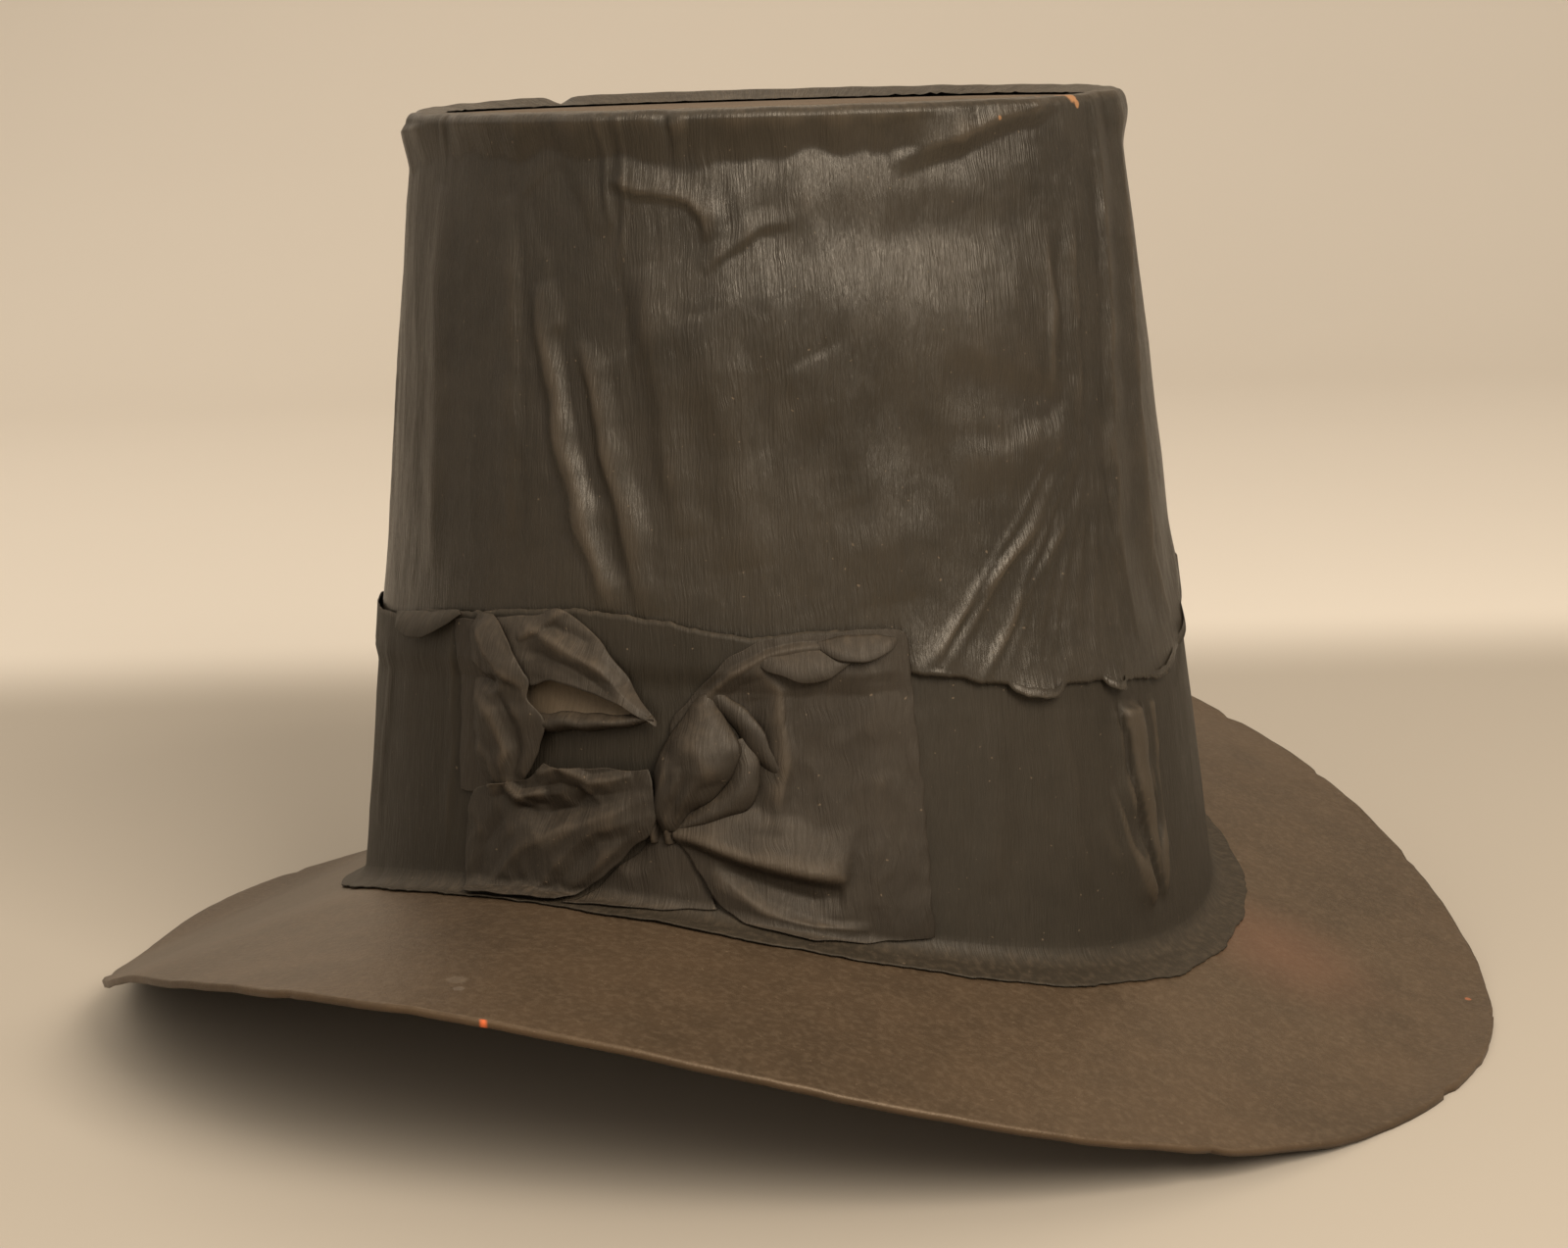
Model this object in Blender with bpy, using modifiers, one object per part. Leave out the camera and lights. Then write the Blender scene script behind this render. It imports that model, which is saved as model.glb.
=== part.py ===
"""Paper pilgrim hat: an arched card brim, a tapered card crown with a card top, a loose crepe-paper
cover, a crepe band flared onto the brim, and a crushed crepe bow on the wearer's left.

Metres, +Z up. The origin is on the table, under the middle of the brim. X runs from front (-X) to
back (+X), where the brim dips to the table, and the bow is on the -Y side.
"""

from collections import namedtuple
from math import atan2, copysign, cos, exp, hypot, log, radians, sin

import bmesh
import bpy
from mathutils import Vector

# Clearance between neighbouring pieces
GAP = 0.0003

# Brim
BRIM_LENGTH = 0.332
BRIM_WIDTH = 0.328
BRIM_ROUNDNESS = 1.84
BRIM_CARD = 0.0015
BRIM_ARCH = 0.048
BRIM_FLARE = 0.38
BRIM_PRESSED = 0.004
PRESS_SOFTNESS = 0.0008

# Crown: inside of the card wall at the brim's crest and at the top
HEAD_LENGTH = 0.194
HEAD_WIDTH = 0.185
TOP_LENGTH = 0.156
TOP_WIDTH = 0.145
CROWN_HEIGHT = 0.162
WALL_CARD = 0.0015
LID_CARD = 0.0015
LID_PRESSED = 0.0002

# Crepe paper cover and its folds
CREPE = 0.001
TURN_IN = 0.006
TURN_IN_WAVE = 0.0012
TURN_IN_WAVES = 5
BARE_MARGIN = 0.0006
LAP = 0.008
LAP_RAMP = 0.004
HEM_CLEAR = 0.002
FOLD_WIDTH = 0.010
FOLD_RISE = 0.004

# Crepe band
BAND_HEIGHT = 0.061
BAND_BEND = 0.004
FLANGE = 0.0035
EDGE_SPACE = 0.0004

# Bow
BOW_PUFF = 0.007
KNOT_LENGTH = 0.012
KNOT_WIDTH = 0.0045
KNOT_DEPTH = 0.008
KNOT_ANGLE = -79.6
KNOT_HEIGHT = 0.31

# Mesh fineness
SECTORS = 72
BRIM_RINGS = 6
BOW_COLUMNS = 9
KNOT_LEVELS = 2

# Rows of the cover and of the band, as shares of the way up each
COVER_LEVELS = [0.0, 0.10, 0.22, 0.34, 0.46, 0.58, 0.70, 0.80, 0.90, 0.97]
BAND_LEVELS = [0.35, 0.70]
# The share of the cover's height over which its folds fade in above the band
FOLD_FADE = 0.2
# How far round the band's bend a bow sheet may follow it, in radians
BEND_REACH = 1.2
# How far the knot's middle stands off the band, as a share of half its depth
KNOT_STAND = 0.95

CREST = BRIM_CARD + BRIM_ARCH - BRIM_PRESSED
LID_TOP = CROWN_HEIGHT - CREPE - GAP
WALL_TOP = LID_TOP - LID_CARD - GAP
STEP = CREPE + GAP
MEAN_RADIUS = (HEAD_LENGTH + HEAD_WIDTH + TOP_LENGTH + TOP_WIDTH) / 8
ANGLES = [360 * k / SECTORS - 180 for k in range(SECTORS)]

# The line where cover and band meet: height is a share of BAND_HEIGHT above the crest. lap is 1
# where the cover hangs over the band, -1 where the band lies over the cover, 0 where they meet.
Seam = namedtuple("Seam", "angle height lap")
SEAMS = [
    Seam(-180, 0.80, -1),
    Seam(-137, 0.84, -1),
    Seam(-110, 0.94, -1),
    Seam(-90, 1.00, -1),
    Seam(-68, 0.92, -1),
    Seam(-55, 0.93, -1),
    Seam(-47, 0.80, 0),
    Seam(-40, 0.74, 1),
    Seam(-28, 0.64, 1),
    Seam(-16, 0.61, 1),
    Seam(-3, 0.58, 1),
    Seam(8, 0.69, 0),
    Seam(16, 0.76, -1),
    Seam(90, 0.90, -1),
    Seam(180, 0.80, -1),
]

# Folds of the cover, each a ridge from one place to another: heights are shares of CROWN_HEIGHT,
# wide and rise are shares of FOLD_WIDTH and FOLD_RISE.
Fold = namedtuple("Fold", "low_angle low high_angle high wide rise")
COVER_FOLDS = [
    Fold(-6, 0.30, -7, 0.60, 0.7, 0.9),
    Fold(-7, 0.60, 6, 0.97, 0.7, 0.8),
    Fold(-85, 0.40, -91, 0.55, 0.6, 0.6),
    Fold(-91, 0.55, -96, 0.74, 0.7, 0.8),
    Fold(-82, 0.42, -89, 0.64, 0.5, 0.5),
    Fold(-44, 0.29, -30, 0.54, 0.6, 0.5),
    Fold(-33, 0.27, -25, 0.50, 0.5, 0.5),
    Fold(-18, 0.26, -21, 0.52, 0.6, 0.5),
    Fold(-112, 0.93, -76, 0.90, 0.5, 0.5),
    Fold(-76, 0.90, -40, 0.95, 0.6, 0.5),
    Fold(-38, 0.90, -18, 0.93, 0.5, 0.5),
    Fold(-142, 0.93, -128, 0.95, 0.9, 0.6),
    Fold(-60, 0.70, -40, 0.80, 2.2, 0.4),
    Fold(-30, 0.56, -24, 0.56, 0.8, 0.5),
    Fold(100, 0.40, 92, 0.86, 0.8, 0.6),
    Fold(160, 0.40, 166, 0.80, 0.8, 0.7),
    Fold(52, 0.45, 48, 0.85, 0.8, 0.5),
]

# Pleats of the band: heights are shares of BAND_HEIGHT above the brim
BAND_FOLDS = [
    Fold(-10, 0.16, -12, 0.78, 0.6, 0.5),
    Fold(150, 0.16, 149, 0.70, 0.7, 0.5),
]

# Soft waves of the brim card: out is the share of the way from crown to edge, rise a share of
# BRIM_ARCH, wide a share of BRIM_WIDTH.
Wave = namedtuple("Wave", "angle out wide rise")
BRIM_WAVES = [
    Wave(-124, 0.95, 0.08, 0.040),
    Wave(-128, 0.35, 0.06, 0.020),
    Wave(66, 0.95, 0.07, -0.030),
]

# Bow pieces, each a crushed sheet laid over the band: a row for each rib across it, from the
# lowest up. height is a share of BAND_HEIGHT, rises are shares of BOW_PUFF at its left edge,
# middle and right edge.
Rib = namedtuple("Rib", "height left right rise_left rise_middle rise_right")
BOW_SHEETS = {
    "bow_left_tail": [
        Rib(-0.04, -105.5, -91.5, 0.00, 0.05, 0.00),
        Rib(0.08, -107.5, -87.5, 0.05, 0.25, 0.10),
        Rib(0.19, -109.0, -83.2, 0.10, 0.45, 0.25),
        Rib(0.30, -109.3, -81.4, 0.10, 0.60, 0.45),
        Rib(0.37, -103.0, -81.2, 0.10, 0.65, 0.50),
        Rib(0.45, -95.5, -81.4, 0.20, 0.50, 0.30),
    ],
    "bow_left_loop": [
        Rib(0.47, -106.0, -96.2, 0.20, 0.50, 0.20),
        Rib(0.56, -107.5, -94.0, 0.35, 0.75, 0.60),
        Rib(0.63, -108.3, -81.6, 0.35, 0.90, 0.50),
        Rib(0.70, -108.5, -80.8, 0.35, 1.00, 0.45),
        Rib(0.79, -108.5, -83.6, 0.35, 0.85, 0.30),
        Rib(0.90, -108.0, -87.6, 0.25, 0.60, 0.15),
        Rib(0.97, -107.0, -92.5, 0.05, 0.20, 0.05),
    ],
    "bow_right_loop": [
        Rib(0.34, -77.4, -70.6, 0.60, 0.90, 0.55),
        Rib(0.40, -77.7, -67.9, 0.60, 1.20, 0.60),
        Rib(0.47, -78.2, -67.3, 0.55, 1.30, 0.55),
        Rib(0.55, -78.2, -68.3, 0.45, 1.20, 0.45),
        Rib(0.63, -77.6, -70.0, 0.30, 0.85, 0.30),
        Rib(0.72, -75.8, -72.8, 0.10, 0.30, 0.10),
    ],
    "bow_right_tail": [
        Rib(-0.10, -60.0, -46.3, 0.00, 0.02, 0.00),
        Rib(-0.02, -67.0, -46.3, 0.10, 0.10, 0.02),
        Rib(0.08, -73.0, -46.4, 0.20, 0.30, 0.05),
        Rib(0.18, -75.6, -46.5, 0.25, 0.45, 0.08),
        Rib(0.28, -77.0, -46.6, 0.30, 0.40, 0.08),
        Rib(0.38, -66.8, -46.7, 0.15, 0.25, 0.10),
        Rib(0.50, -66.5, -46.8, 0.15, 0.25, 0.10),
        Rib(0.60, -68.2, -47.0, 0.15, 0.25, 0.10),
        Rib(0.72, -71.6, -47.3, 0.15, 0.25, 0.10),
        Rib(0.82, -71.6, -47.6, 0.10, 0.20, 0.08),
        Rib(0.92, -66.0, -49.0, 0.02, 0.05, 0.02),
    ],
}

Finish = namedtuple("Finish", "colour roughness")
FINISHES = {
    "brim_card": Finish((0.105, 0.075, 0.050), 0.85),
    "wall_card": Finish((0.120, 0.095, 0.070), 0.85),
    "top_card": Finish((0.190, 0.135, 0.085), 0.85),
    "cover_crepe": Finish((0.060, 0.045, 0.028), 0.55),
    "band_crepe": Finish((0.050, 0.038, 0.024), 0.70),
    "bow_crepe": Finish((0.065, 0.048, 0.031), 0.70),
}


def clamp(value, low=0.0, high=1.0):
    return max(low, min(high, value))


def mix(a, b, share):
    return a + (b - a) * share


def wrapped(angle):
    """The same angle between -180 and 180 degrees."""
    return (angle + 180) % 360 - 180


def seam_at(angle):
    """The seam's height above the crest, in metres, and its lap, at this angle."""
    angle = wrapped(angle)
    for before, after in zip(SEAMS, SEAMS[1:]):
        if angle <= after.angle:
            share = (angle - before.angle) / (after.angle - before.angle)
            height = mix(before.height, after.height, share) * BAND_HEIGHT
            return height, mix(before.lap, after.lap, share)
    return SEAMS[-1].height * BAND_HEIGHT, SEAMS[-1].lap


def stepped(lap):
    """The share of a full step out, reached a quarter of the way from meeting to lapping."""
    return clamp(4 * lap)


def overlap(lap):
    """The share of a full overlap, which starts once the paper has stepped out."""
    return clamp(2 * lap - 1)


def cover_hem(angle):
    height, lap = seam_at(angle)
    return height + EDGE_SPACE - LAP * overlap(-lap)


def band_edge(angle):
    height, lap = seam_at(angle)
    return height - EDGE_SPACE + LAP * overlap(lap)


def cover_step(angle):
    return STEP * stepped(seam_at(angle)[1])


def band_step(angle):
    return STEP * stepped(-seam_at(angle)[1])


def brim_top(x, y):
    """Height of the brim's upper face: an arch from front to back whose ends lie on the table."""
    along = 2 * x / BRIM_LENGTH
    dip = BRIM_ARCH * ((1 + BRIM_FLARE) * along**2 - BRIM_FLARE * along**4)
    above = (CREST - dip - BRIM_CARD) / PRESS_SOFTNESS
    pressed = BRIM_CARD + PRESS_SOFTNESS * (log(1 + exp(above)) if above < 50 else above)
    return pressed + sum(wave_rise(wave, x, y) for wave in BRIM_WAVES)


def wave_rise(wave, x, y):
    inner = crown_point(wave.angle, 0, 0)
    outer = brim_edge(wave.angle)
    middle = inner.lerp(outer, wave.out)
    off = hypot(x - middle.x, y - middle.y) / (wave.wide * BRIM_WIDTH)
    return wave.rise * BRIM_ARCH * exp(-off * off)


def brim_edge(angle):
    """A point of the brim's outline in plan."""
    power = 2 / BRIM_ROUNDNESS
    along, across = cos(radians(angle)), sin(radians(angle))
    x = BRIM_LENGTH / 2 * copysign(abs(along) ** power, along)
    y = BRIM_WIDTH / 2 * copysign(abs(across) ** power, across)
    return Vector((x, y, 0))


def crown_point(angle, height, out):
    """A point at this height above the crest, this far out from the inside of the crown wall."""
    share = height / CROWN_HEIGHT
    length = mix(HEAD_LENGTH, TOP_LENGTH, share) / 2 + out
    width = mix(HEAD_WIDTH, TOP_WIDTH, share) / 2 + out
    turn = radians(angle)
    return Vector((length * cos(turn), width * sin(turn), CREST + height))


def brim_height(angle, out):
    """How far above the crest the brim's upper face lies under the crown wall: below it, negative."""
    height = 0.0
    for _ in range(8):
        point = crown_point(angle, height, out)
        height = brim_top(point.x, point.y) - CREST
    return height


def folds_rise(folds, angle, height, full_height):
    """How far the folds in a table lift the paper here."""
    total = 0.0
    for fold in folds:
        run_x = radians(fold.high_angle - fold.low_angle) * MEAN_RADIUS
        run_z = (fold.high - fold.low) * full_height
        x = radians(wrapped(angle - fold.low_angle)) * MEAN_RADIUS
        z = height - fold.low * full_height
        share = clamp((x * run_x + z * run_z) / (run_x**2 + run_z**2))
        off = hypot(x - share * run_x, z - share * run_z) / (fold.wide * FOLD_WIDTH)
        total += fold.rise * FOLD_RISE * exp(-off * off)
    return total


def material(name):
    finish = FINISHES[name]
    made = bpy.data.materials.get(name) or bpy.data.materials.new(name)
    made.use_nodes = True
    shader = made.node_tree.nodes["Principled BSDF"]
    shader.inputs["Base Color"].default_value = (*finish.colour, 1)
    shader.inputs["Roughness"].default_value = finish.roughness
    shader.inputs["Metallic"].default_value = 0
    return made


def add_object(name, mesh, finish, collection):
    mesh.materials.append(material(finish))
    made = bpy.data.objects.new(name, mesh)
    collection.objects.link(made)
    return made


def sheet(name, rows, closed, thickness, outward, finish, collection):
    """A surface through rows of points, made a wall by Solidify, on the side that outward says."""
    shape = bmesh.new()
    grid = [[shape.verts.new(point) for point in row] for row in rows]
    columns = len(rows[0])
    for lower, upper in zip(grid, grid[1:]):
        for k in range(columns if closed else columns - 1):
            following = (k + 1) % columns
            shape.faces.new((lower[k], lower[following], upper[following], upper[k]))
    mesh = bpy.data.meshes.new(name)
    shape.to_mesh(mesh)
    shape.free()
    mesh.shade_smooth()
    made = add_object(name, mesh, finish, collection)
    wall = made.modifiers.new("wall", "SOLIDIFY")
    wall.thickness = thickness
    wall.offset = 1 if outward else -1
    wall.use_even_offset = True
    return made


def make_brim(collection):
    rows = []
    for ring in range(BRIM_RINGS + 1):
        row = []
        for angle in ANGLES:
            flat = brim_edge(angle).lerp(crown_point(angle, 0, 0), ring / BRIM_RINGS)
            row.append(Vector((flat.x, flat.y, brim_top(flat.x, flat.y))))
        rows.append(row)
    return sheet("brim", rows, True, BRIM_CARD, False, "brim_card", collection)


def make_crown_wall(collection):
    foot = [crown_point(a, brim_height(a, 0) + GAP, 0) for a in ANGLES]
    crest = [crown_point(a, LAP, 0) for a in ANGLES]
    top = [crown_point(a, WALL_TOP, 0) for a in ANGLES]
    return sheet("crown_wall", [foot, crest, top], True, WALL_CARD, True, "wall_card", collection)


def make_crown_top(collection):
    """The card lid: an oval plate over the top edge of the wall. Its rim is pressed down a little
    under the glued paper, so the bare middle is a flat seat for what is laid on the hat."""
    shape = bmesh.new()
    rim = LID_CARD - LID_PRESSED
    bmesh.ops.create_cone(shape, cap_ends=True, segments=SECTORS, radius1=1, radius2=1, depth=rim)
    reach = crown_point(0, LID_TOP, WALL_CARD).x, crown_point(90, LID_TOP, WALL_CARD).y
    bmesh.ops.scale(shape, verts=shape.verts, vec=(*reach, 1))
    upper = max(shape.faces, key=lambda face: face.calc_center_median().z)
    covered = TURN_IN + TURN_IN_WAVE + BARE_MARGIN
    bmesh.ops.inset_region(
        shape, faces=[upper], thickness=covered, depth=LID_PRESSED, use_even_offset=True
    )
    mesh = bpy.data.meshes.new("crown_top")
    shape.to_mesh(mesh)
    shape.free()
    made = add_object("crown_top", mesh, "top_card", collection)
    made.location.z = CREST + LID_TOP - LID_PRESSED - rim / 2
    return made


def make_cover(collection):
    """The loose crepe skin of the crown, from its hem up over the rim and in over the lid."""
    foot = WALL_CARD + GAP
    columns = []
    for angle in ANGLES:
        hem, lap = cover_hem(angle), seam_at(angle)[1]
        clear = max(hem, band_edge(angle)) + HEM_CLEAR
        lifted = foot + cover_step(angle)
        column = []
        for height in (hem, clear):
            rise = folds_rise(COVER_FOLDS, angle, height, CROWN_HEIGHT) * clamp(lap)
            column.append(crown_point(angle, height, lifted + rise))
        start = clear + LAP_RAMP
        for share in COVER_LEVELS:
            height = mix(start, LID_TOP, share)
            free = max(clamp(lap), clamp(share / FOLD_FADE))
            rise = folds_rise(COVER_FOLDS, angle, height, CROWN_HEIGHT) * free
            column.append(crown_point(angle, height, foot + rise))
        corner = crown_point(angle, LID_TOP, foot)
        corner.z += GAP
        turned = TURN_IN - TURN_IN_WAVE * sin(radians(TURN_IN_WAVES * angle))
        inner = crown_point(angle, LID_TOP, foot - turned)
        inner.z += GAP
        column += [corner, inner]
        columns.append(column)
    rows = [list(row) for row in zip(*columns)]
    return sheet("crepe_cover", rows, True, CREPE, True, "cover_crepe", collection)


def band_lift(angle, height):
    """How far the band steps out over the cover at this height, where it lies over it."""
    ramp = clamp((height - cover_hem(angle) + 2 * LAP_RAMP) / LAP_RAMP)
    return band_step(angle) * ramp


def make_band(collection):
    """The crepe band, from the flange on the brim, round a bend and up the wall."""
    foot = WALL_CARD + GAP
    columns = []
    for angle in ANGLES:
        column = []
        for out in (foot + BAND_BEND + FLANGE, foot + BAND_BEND):
            column.append(crown_point(angle, brim_height(angle, out) + GAP, out))
        seat = brim_height(angle, foot) + GAP
        slope = (brim_height(angle, foot + BAND_BEND) + GAP - seat) / 2
        bend = BAND_BEND * (1 - cos(radians(45)))
        column.append(crown_point(angle, seat + bend + slope, foot + bend))
        column.append(crown_point(angle, seat + BAND_BEND, foot))
        edge = band_edge(angle)
        under = min(edge, cover_hem(angle))
        start = seat + BAND_BEND
        for share in BAND_LEVELS:
            height = mix(start, under, share)
            rise = folds_rise(BAND_FOLDS, angle, height, BAND_HEIGHT)
            column.append(crown_point(angle, height, foot + rise))
        step = band_step(angle)
        column.append(crown_point(angle, under - 2 * LAP_RAMP, foot))
        column.append(crown_point(angle, under - LAP_RAMP, foot + step))
        column.append(crown_point(angle, edge, foot + step))
        columns.append(column)
    rows = [list(row) for row in zip(*columns)]
    return sheet("hat_band", rows, True, CREPE, True, "band_crepe", collection)


def over_band(angle, height, lift):
    """A point that lies on the band, lift above it: down the wall and out along the bend."""
    foot = WALL_CARD + GAP
    seat = brim_height(angle, foot + BAND_BEND) + GAP
    turn = seat + BAND_BEND + CREPE
    if height >= turn:
        out = foot + CREPE + GAP + band_lift(angle, height + LAP_RAMP) + lift
        return crown_point(angle, height, out)
    radius = BAND_BEND - CREPE - GAP
    around = clamp((turn - height) / BAND_BEND, 0, BEND_REACH)
    out = foot + BAND_BEND - radius * cos(around) + lift
    return crown_point(angle, turn - radius * sin(around), out)


def make_bow_sheet(name, ribs, collection):
    rows = []
    for rib in ribs:
        row = []
        for k in range(BOW_COLUMNS):
            across = k / (BOW_COLUMNS - 1)
            edge = mix(rib.rise_left, rib.rise_right, across)
            hump = rib.rise_middle - (rib.rise_left + rib.rise_right) / 2
            rise = BOW_PUFF * (edge + hump * 4 * across * (1 - across))
            angle = mix(rib.left, rib.right, across)
            row.append(over_band(angle, rib.height * BAND_HEIGHT, rise))
        rows.append(row)
    return sheet(name, rows, False, CREPE, True, "bow_crepe", collection)


def make_bow_knot(collection):
    """The pinched middle of the bow, a small cage rounded by subdivision."""
    shape = bmesh.new()
    bmesh.ops.create_cube(shape, size=1)
    bmesh.ops.scale(shape, verts=shape.verts, vec=(KNOT_DEPTH, KNOT_WIDTH, KNOT_LENGTH))
    mesh = bpy.data.meshes.new("bow_knot")
    shape.to_mesh(mesh)
    shape.free()
    mesh.shade_smooth()
    made = add_object("bow_knot", mesh, "bow_crepe", collection)
    rounded = made.modifiers.new("rounded", "SUBSURF")
    rounded.levels = rounded.render_levels = KNOT_LEVELS
    place = over_band(KNOT_ANGLE, KNOT_HEIGHT * BAND_HEIGHT, KNOT_DEPTH / 2 * KNOT_STAND)
    made.location = place
    made.rotation_euler.z = atan2(place.y, place.x)
    return made


def main():
    for old in list(bpy.data.objects):
        bpy.data.objects.remove(old)
    collection = bpy.data.collections.new("paper_pilgrim_hat")
    bpy.context.scene.collection.children.link(collection)
    make_brim(collection)
    make_crown_wall(collection)
    make_crown_top(collection)
    make_cover(collection)
    make_band(collection)
    for name, ribs in BOW_SHEETS.items():
        make_bow_sheet(name, ribs, collection)
    make_bow_knot(collection)


main()
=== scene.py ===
# %% [markdown]
# # A paper pilgrim hat
#
# The hat is card covered in dark crepe paper: an arched round brim, a tall tapered crown with a card
# top, a loose crepe cover, a crepe band and a crushed crepe bow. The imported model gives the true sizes
# and places. Here each piece of paper is made again as a finely folded sheet over those sizes, and
# gets its finish.

from collections import namedtuple

import bpy
import numpy as np
from mathutils import Matrix, Vector


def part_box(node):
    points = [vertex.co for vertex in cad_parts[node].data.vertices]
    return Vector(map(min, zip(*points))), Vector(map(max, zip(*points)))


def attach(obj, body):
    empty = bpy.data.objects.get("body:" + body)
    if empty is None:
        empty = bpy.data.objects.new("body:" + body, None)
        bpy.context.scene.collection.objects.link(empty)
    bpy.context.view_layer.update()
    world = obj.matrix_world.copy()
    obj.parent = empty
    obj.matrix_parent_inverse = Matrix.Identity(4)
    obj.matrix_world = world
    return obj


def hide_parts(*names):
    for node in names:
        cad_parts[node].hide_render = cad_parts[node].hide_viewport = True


MM = 0.001

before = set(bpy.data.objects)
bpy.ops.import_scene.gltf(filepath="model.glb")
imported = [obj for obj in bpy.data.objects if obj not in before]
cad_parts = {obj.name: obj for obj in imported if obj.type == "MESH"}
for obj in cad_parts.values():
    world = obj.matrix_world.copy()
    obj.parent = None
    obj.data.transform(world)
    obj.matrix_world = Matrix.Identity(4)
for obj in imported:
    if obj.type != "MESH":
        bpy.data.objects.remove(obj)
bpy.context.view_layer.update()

# %% [markdown]
# Every shape below hangs on a few measures of the hat: how high the brim's crest stands, how long and
# wide the brim is, and how the card crown tapers. They could be typed in again, but then the paper
# would drift off the card as soon as a size changed, so they are read from the model.

# %% Measures read from the model
brim_low, brim_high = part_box("brim")
lid_low, lid_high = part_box("crown_top")
wall_low, wall_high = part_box("crown_wall")

CREST = brim_high.z
BRIM_LENGTH = brim_high.x - brim_low.x
BRIM_WIDTH = brim_high.y - brim_low.y
LID_TOP = lid_high.z - CREST
WALL_FOOT = wall_low.z - CREST
FOOT_LENGTH, CREST_WIDTH = (wall_high.x - wall_low.x) / 2, (wall_high.y - wall_low.y) / 2
LID_LENGTH, LID_WIDTH = (lid_high.x - lid_low.x) / 2, (lid_high.y - lid_low.y) / 2
MEAN_RADIUS = (FOOT_LENGTH + CREST_WIDTH + LID_LENGTH + LID_WIDTH) / 4
print(f"crest {CREST * 1000:.1f} mm, crown {LID_TOP * 1000:.1f} mm above it")

# %% [markdown]
# Paper is easiest to think of as a flat drawing wrapped round the crown: one number for the way round,
# an angle, one for the height, and one for how far the paper stands off the card. These functions
# turn such a drawing into points in space, for whole arrays at once, which keeps fine sheets quick.


# %% From a drawing on the crown to points in space
def crown_axes(height):
    """Half the length and half the width of the card crown's outside, at a height above the crest."""
    along = (height - WALL_FOOT) / (LID_TOP - WALL_FOOT)
    across = height / LID_TOP
    length = FOOT_LENGTH + (LID_LENGTH - FOOT_LENGTH) * along
    width = CREST_WIDTH + (LID_WIDTH - CREST_WIDTH) * across
    return length, width


def on_crown(angle, height, out):
    """Points at these angles and heights, standing this far out from the card."""
    length, width = crown_axes(height)
    turn = np.radians(angle)
    z = CREST + height + 0 * turn
    return np.stack([(length + out) * np.cos(turn), (width + out) * np.sin(turn), z], axis=-1)


BRIM_CARD = 1.5 * MM
# How far the card's inner edge lies inside the crown's outside, at the crest
BRIM_TUCK = 1.5 * MM
BRIM_ROUNDNESS = 1.84
BRIM_FLARE = 0.38
PRESS_SOFTNESS = 0.8 * MM
BRIM_ARCH = CREST - BRIM_CARD + 4 * MM

Wave = namedtuple("Wave", "angle out wide rise")
BRIM_WAVES = [
    Wave(-124, 0.95, 0.08, 0.040),
    Wave(-128, 0.35, 0.06, 0.020),
    Wave(66, 0.95, 0.07, -0.030),
]


def brim_edge(angle):
    """The brim's outline in plan."""
    power = 2 / BRIM_ROUNDNESS
    along, across = np.cos(np.radians(angle)), np.sin(np.radians(angle))
    x = BRIM_LENGTH / 2 * np.copysign(np.abs(along) ** power, along)
    y = BRIM_WIDTH / 2 * np.copysign(np.abs(across) ** power, across)
    return x, y


def brim_top(x, y):
    """Height of the brim's upper face: an arch whose two ends are pressed flat on the table."""
    along = 2 * x / BRIM_LENGTH
    dip = BRIM_ARCH * ((1 + BRIM_FLARE) * along**2 - BRIM_FLARE * along**4)
    above = (CREST - dip - BRIM_CARD) / PRESS_SOFTNESS
    height = BRIM_CARD + PRESS_SOFTNESS * np.logaddexp(0, above)
    for wave in BRIM_WAVES:
        inner = on_crown(wave.angle, 0.0, -BRIM_TUCK)
        outer_x, outer_y = brim_edge(wave.angle)
        middle_x = inner[0] + (outer_x - inner[0]) * wave.out
        middle_y = inner[1] + (outer_y - inner[1]) * wave.out
        off = np.hypot(x - middle_x, y - middle_y) / (wave.wide * BRIM_WIDTH)
        height = height + wave.rise * BRIM_ARCH * np.exp(-off * off)
    return height


def brim_height(angle, out):
    """How far above the crest the brim lies, this far out from the crown: below it, negative."""
    height = 0 * (angle + out)
    for _ in range(6):
        points = on_crown(angle, height, out)
        height = brim_top(points[..., 0], points[..., 1]) - CREST
    return height


print(f"brim {BRIM_LENGTH * 1000:.0f} by {BRIM_WIDTH * 1000:.0f} mm")

# %% [markdown]
# Old crepe paper is never smooth: it has long folds where it was pulled over the card, small creases,
# and a general crumple. A fold could be sculpted by hand, but a line drawn on the paper, with a width
# and a height, says the same thing and can be moved later. A fold that leans has one steep side, as
# where paper has slumped over itself.


# %% Crumple and folds
def soft_noise(x, y, seed):
    """Smooth random waves between about -1 and 1, one wave for each unit, the same on every run."""
    turns = np.random.default_rng(seed).uniform(0, 2 * np.pi, 4093)
    cell_x, cell_y = np.floor(x).astype(int), np.floor(y).astype(int)
    part_x, part_y = x - cell_x, y - cell_y

    def corner(right, up):
        turn = turns[((cell_x + right) * 7919 + (cell_y + up) * 104729) % 4093]
        return np.cos(turn) * (part_x - right) + np.sin(turn) * (part_y - up)

    ease_x, ease_y = part_x**2 * (3 - 2 * part_x), part_y**2 * (3 - 2 * part_y)
    low = corner(0, 0) + (corner(1, 0) - corner(0, 0)) * ease_x
    high = corner(0, 1) + (corner(1, 1) - corner(0, 1)) * ease_x
    return 1.5 * (low + (high - low) * ease_y)


def creased_noise(x, y, seed):
    """Random waves with sharp crests, like paper that was crushed and smoothed out again."""
    return 1 - 2 * np.abs(soft_noise(x, y, seed))


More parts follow.
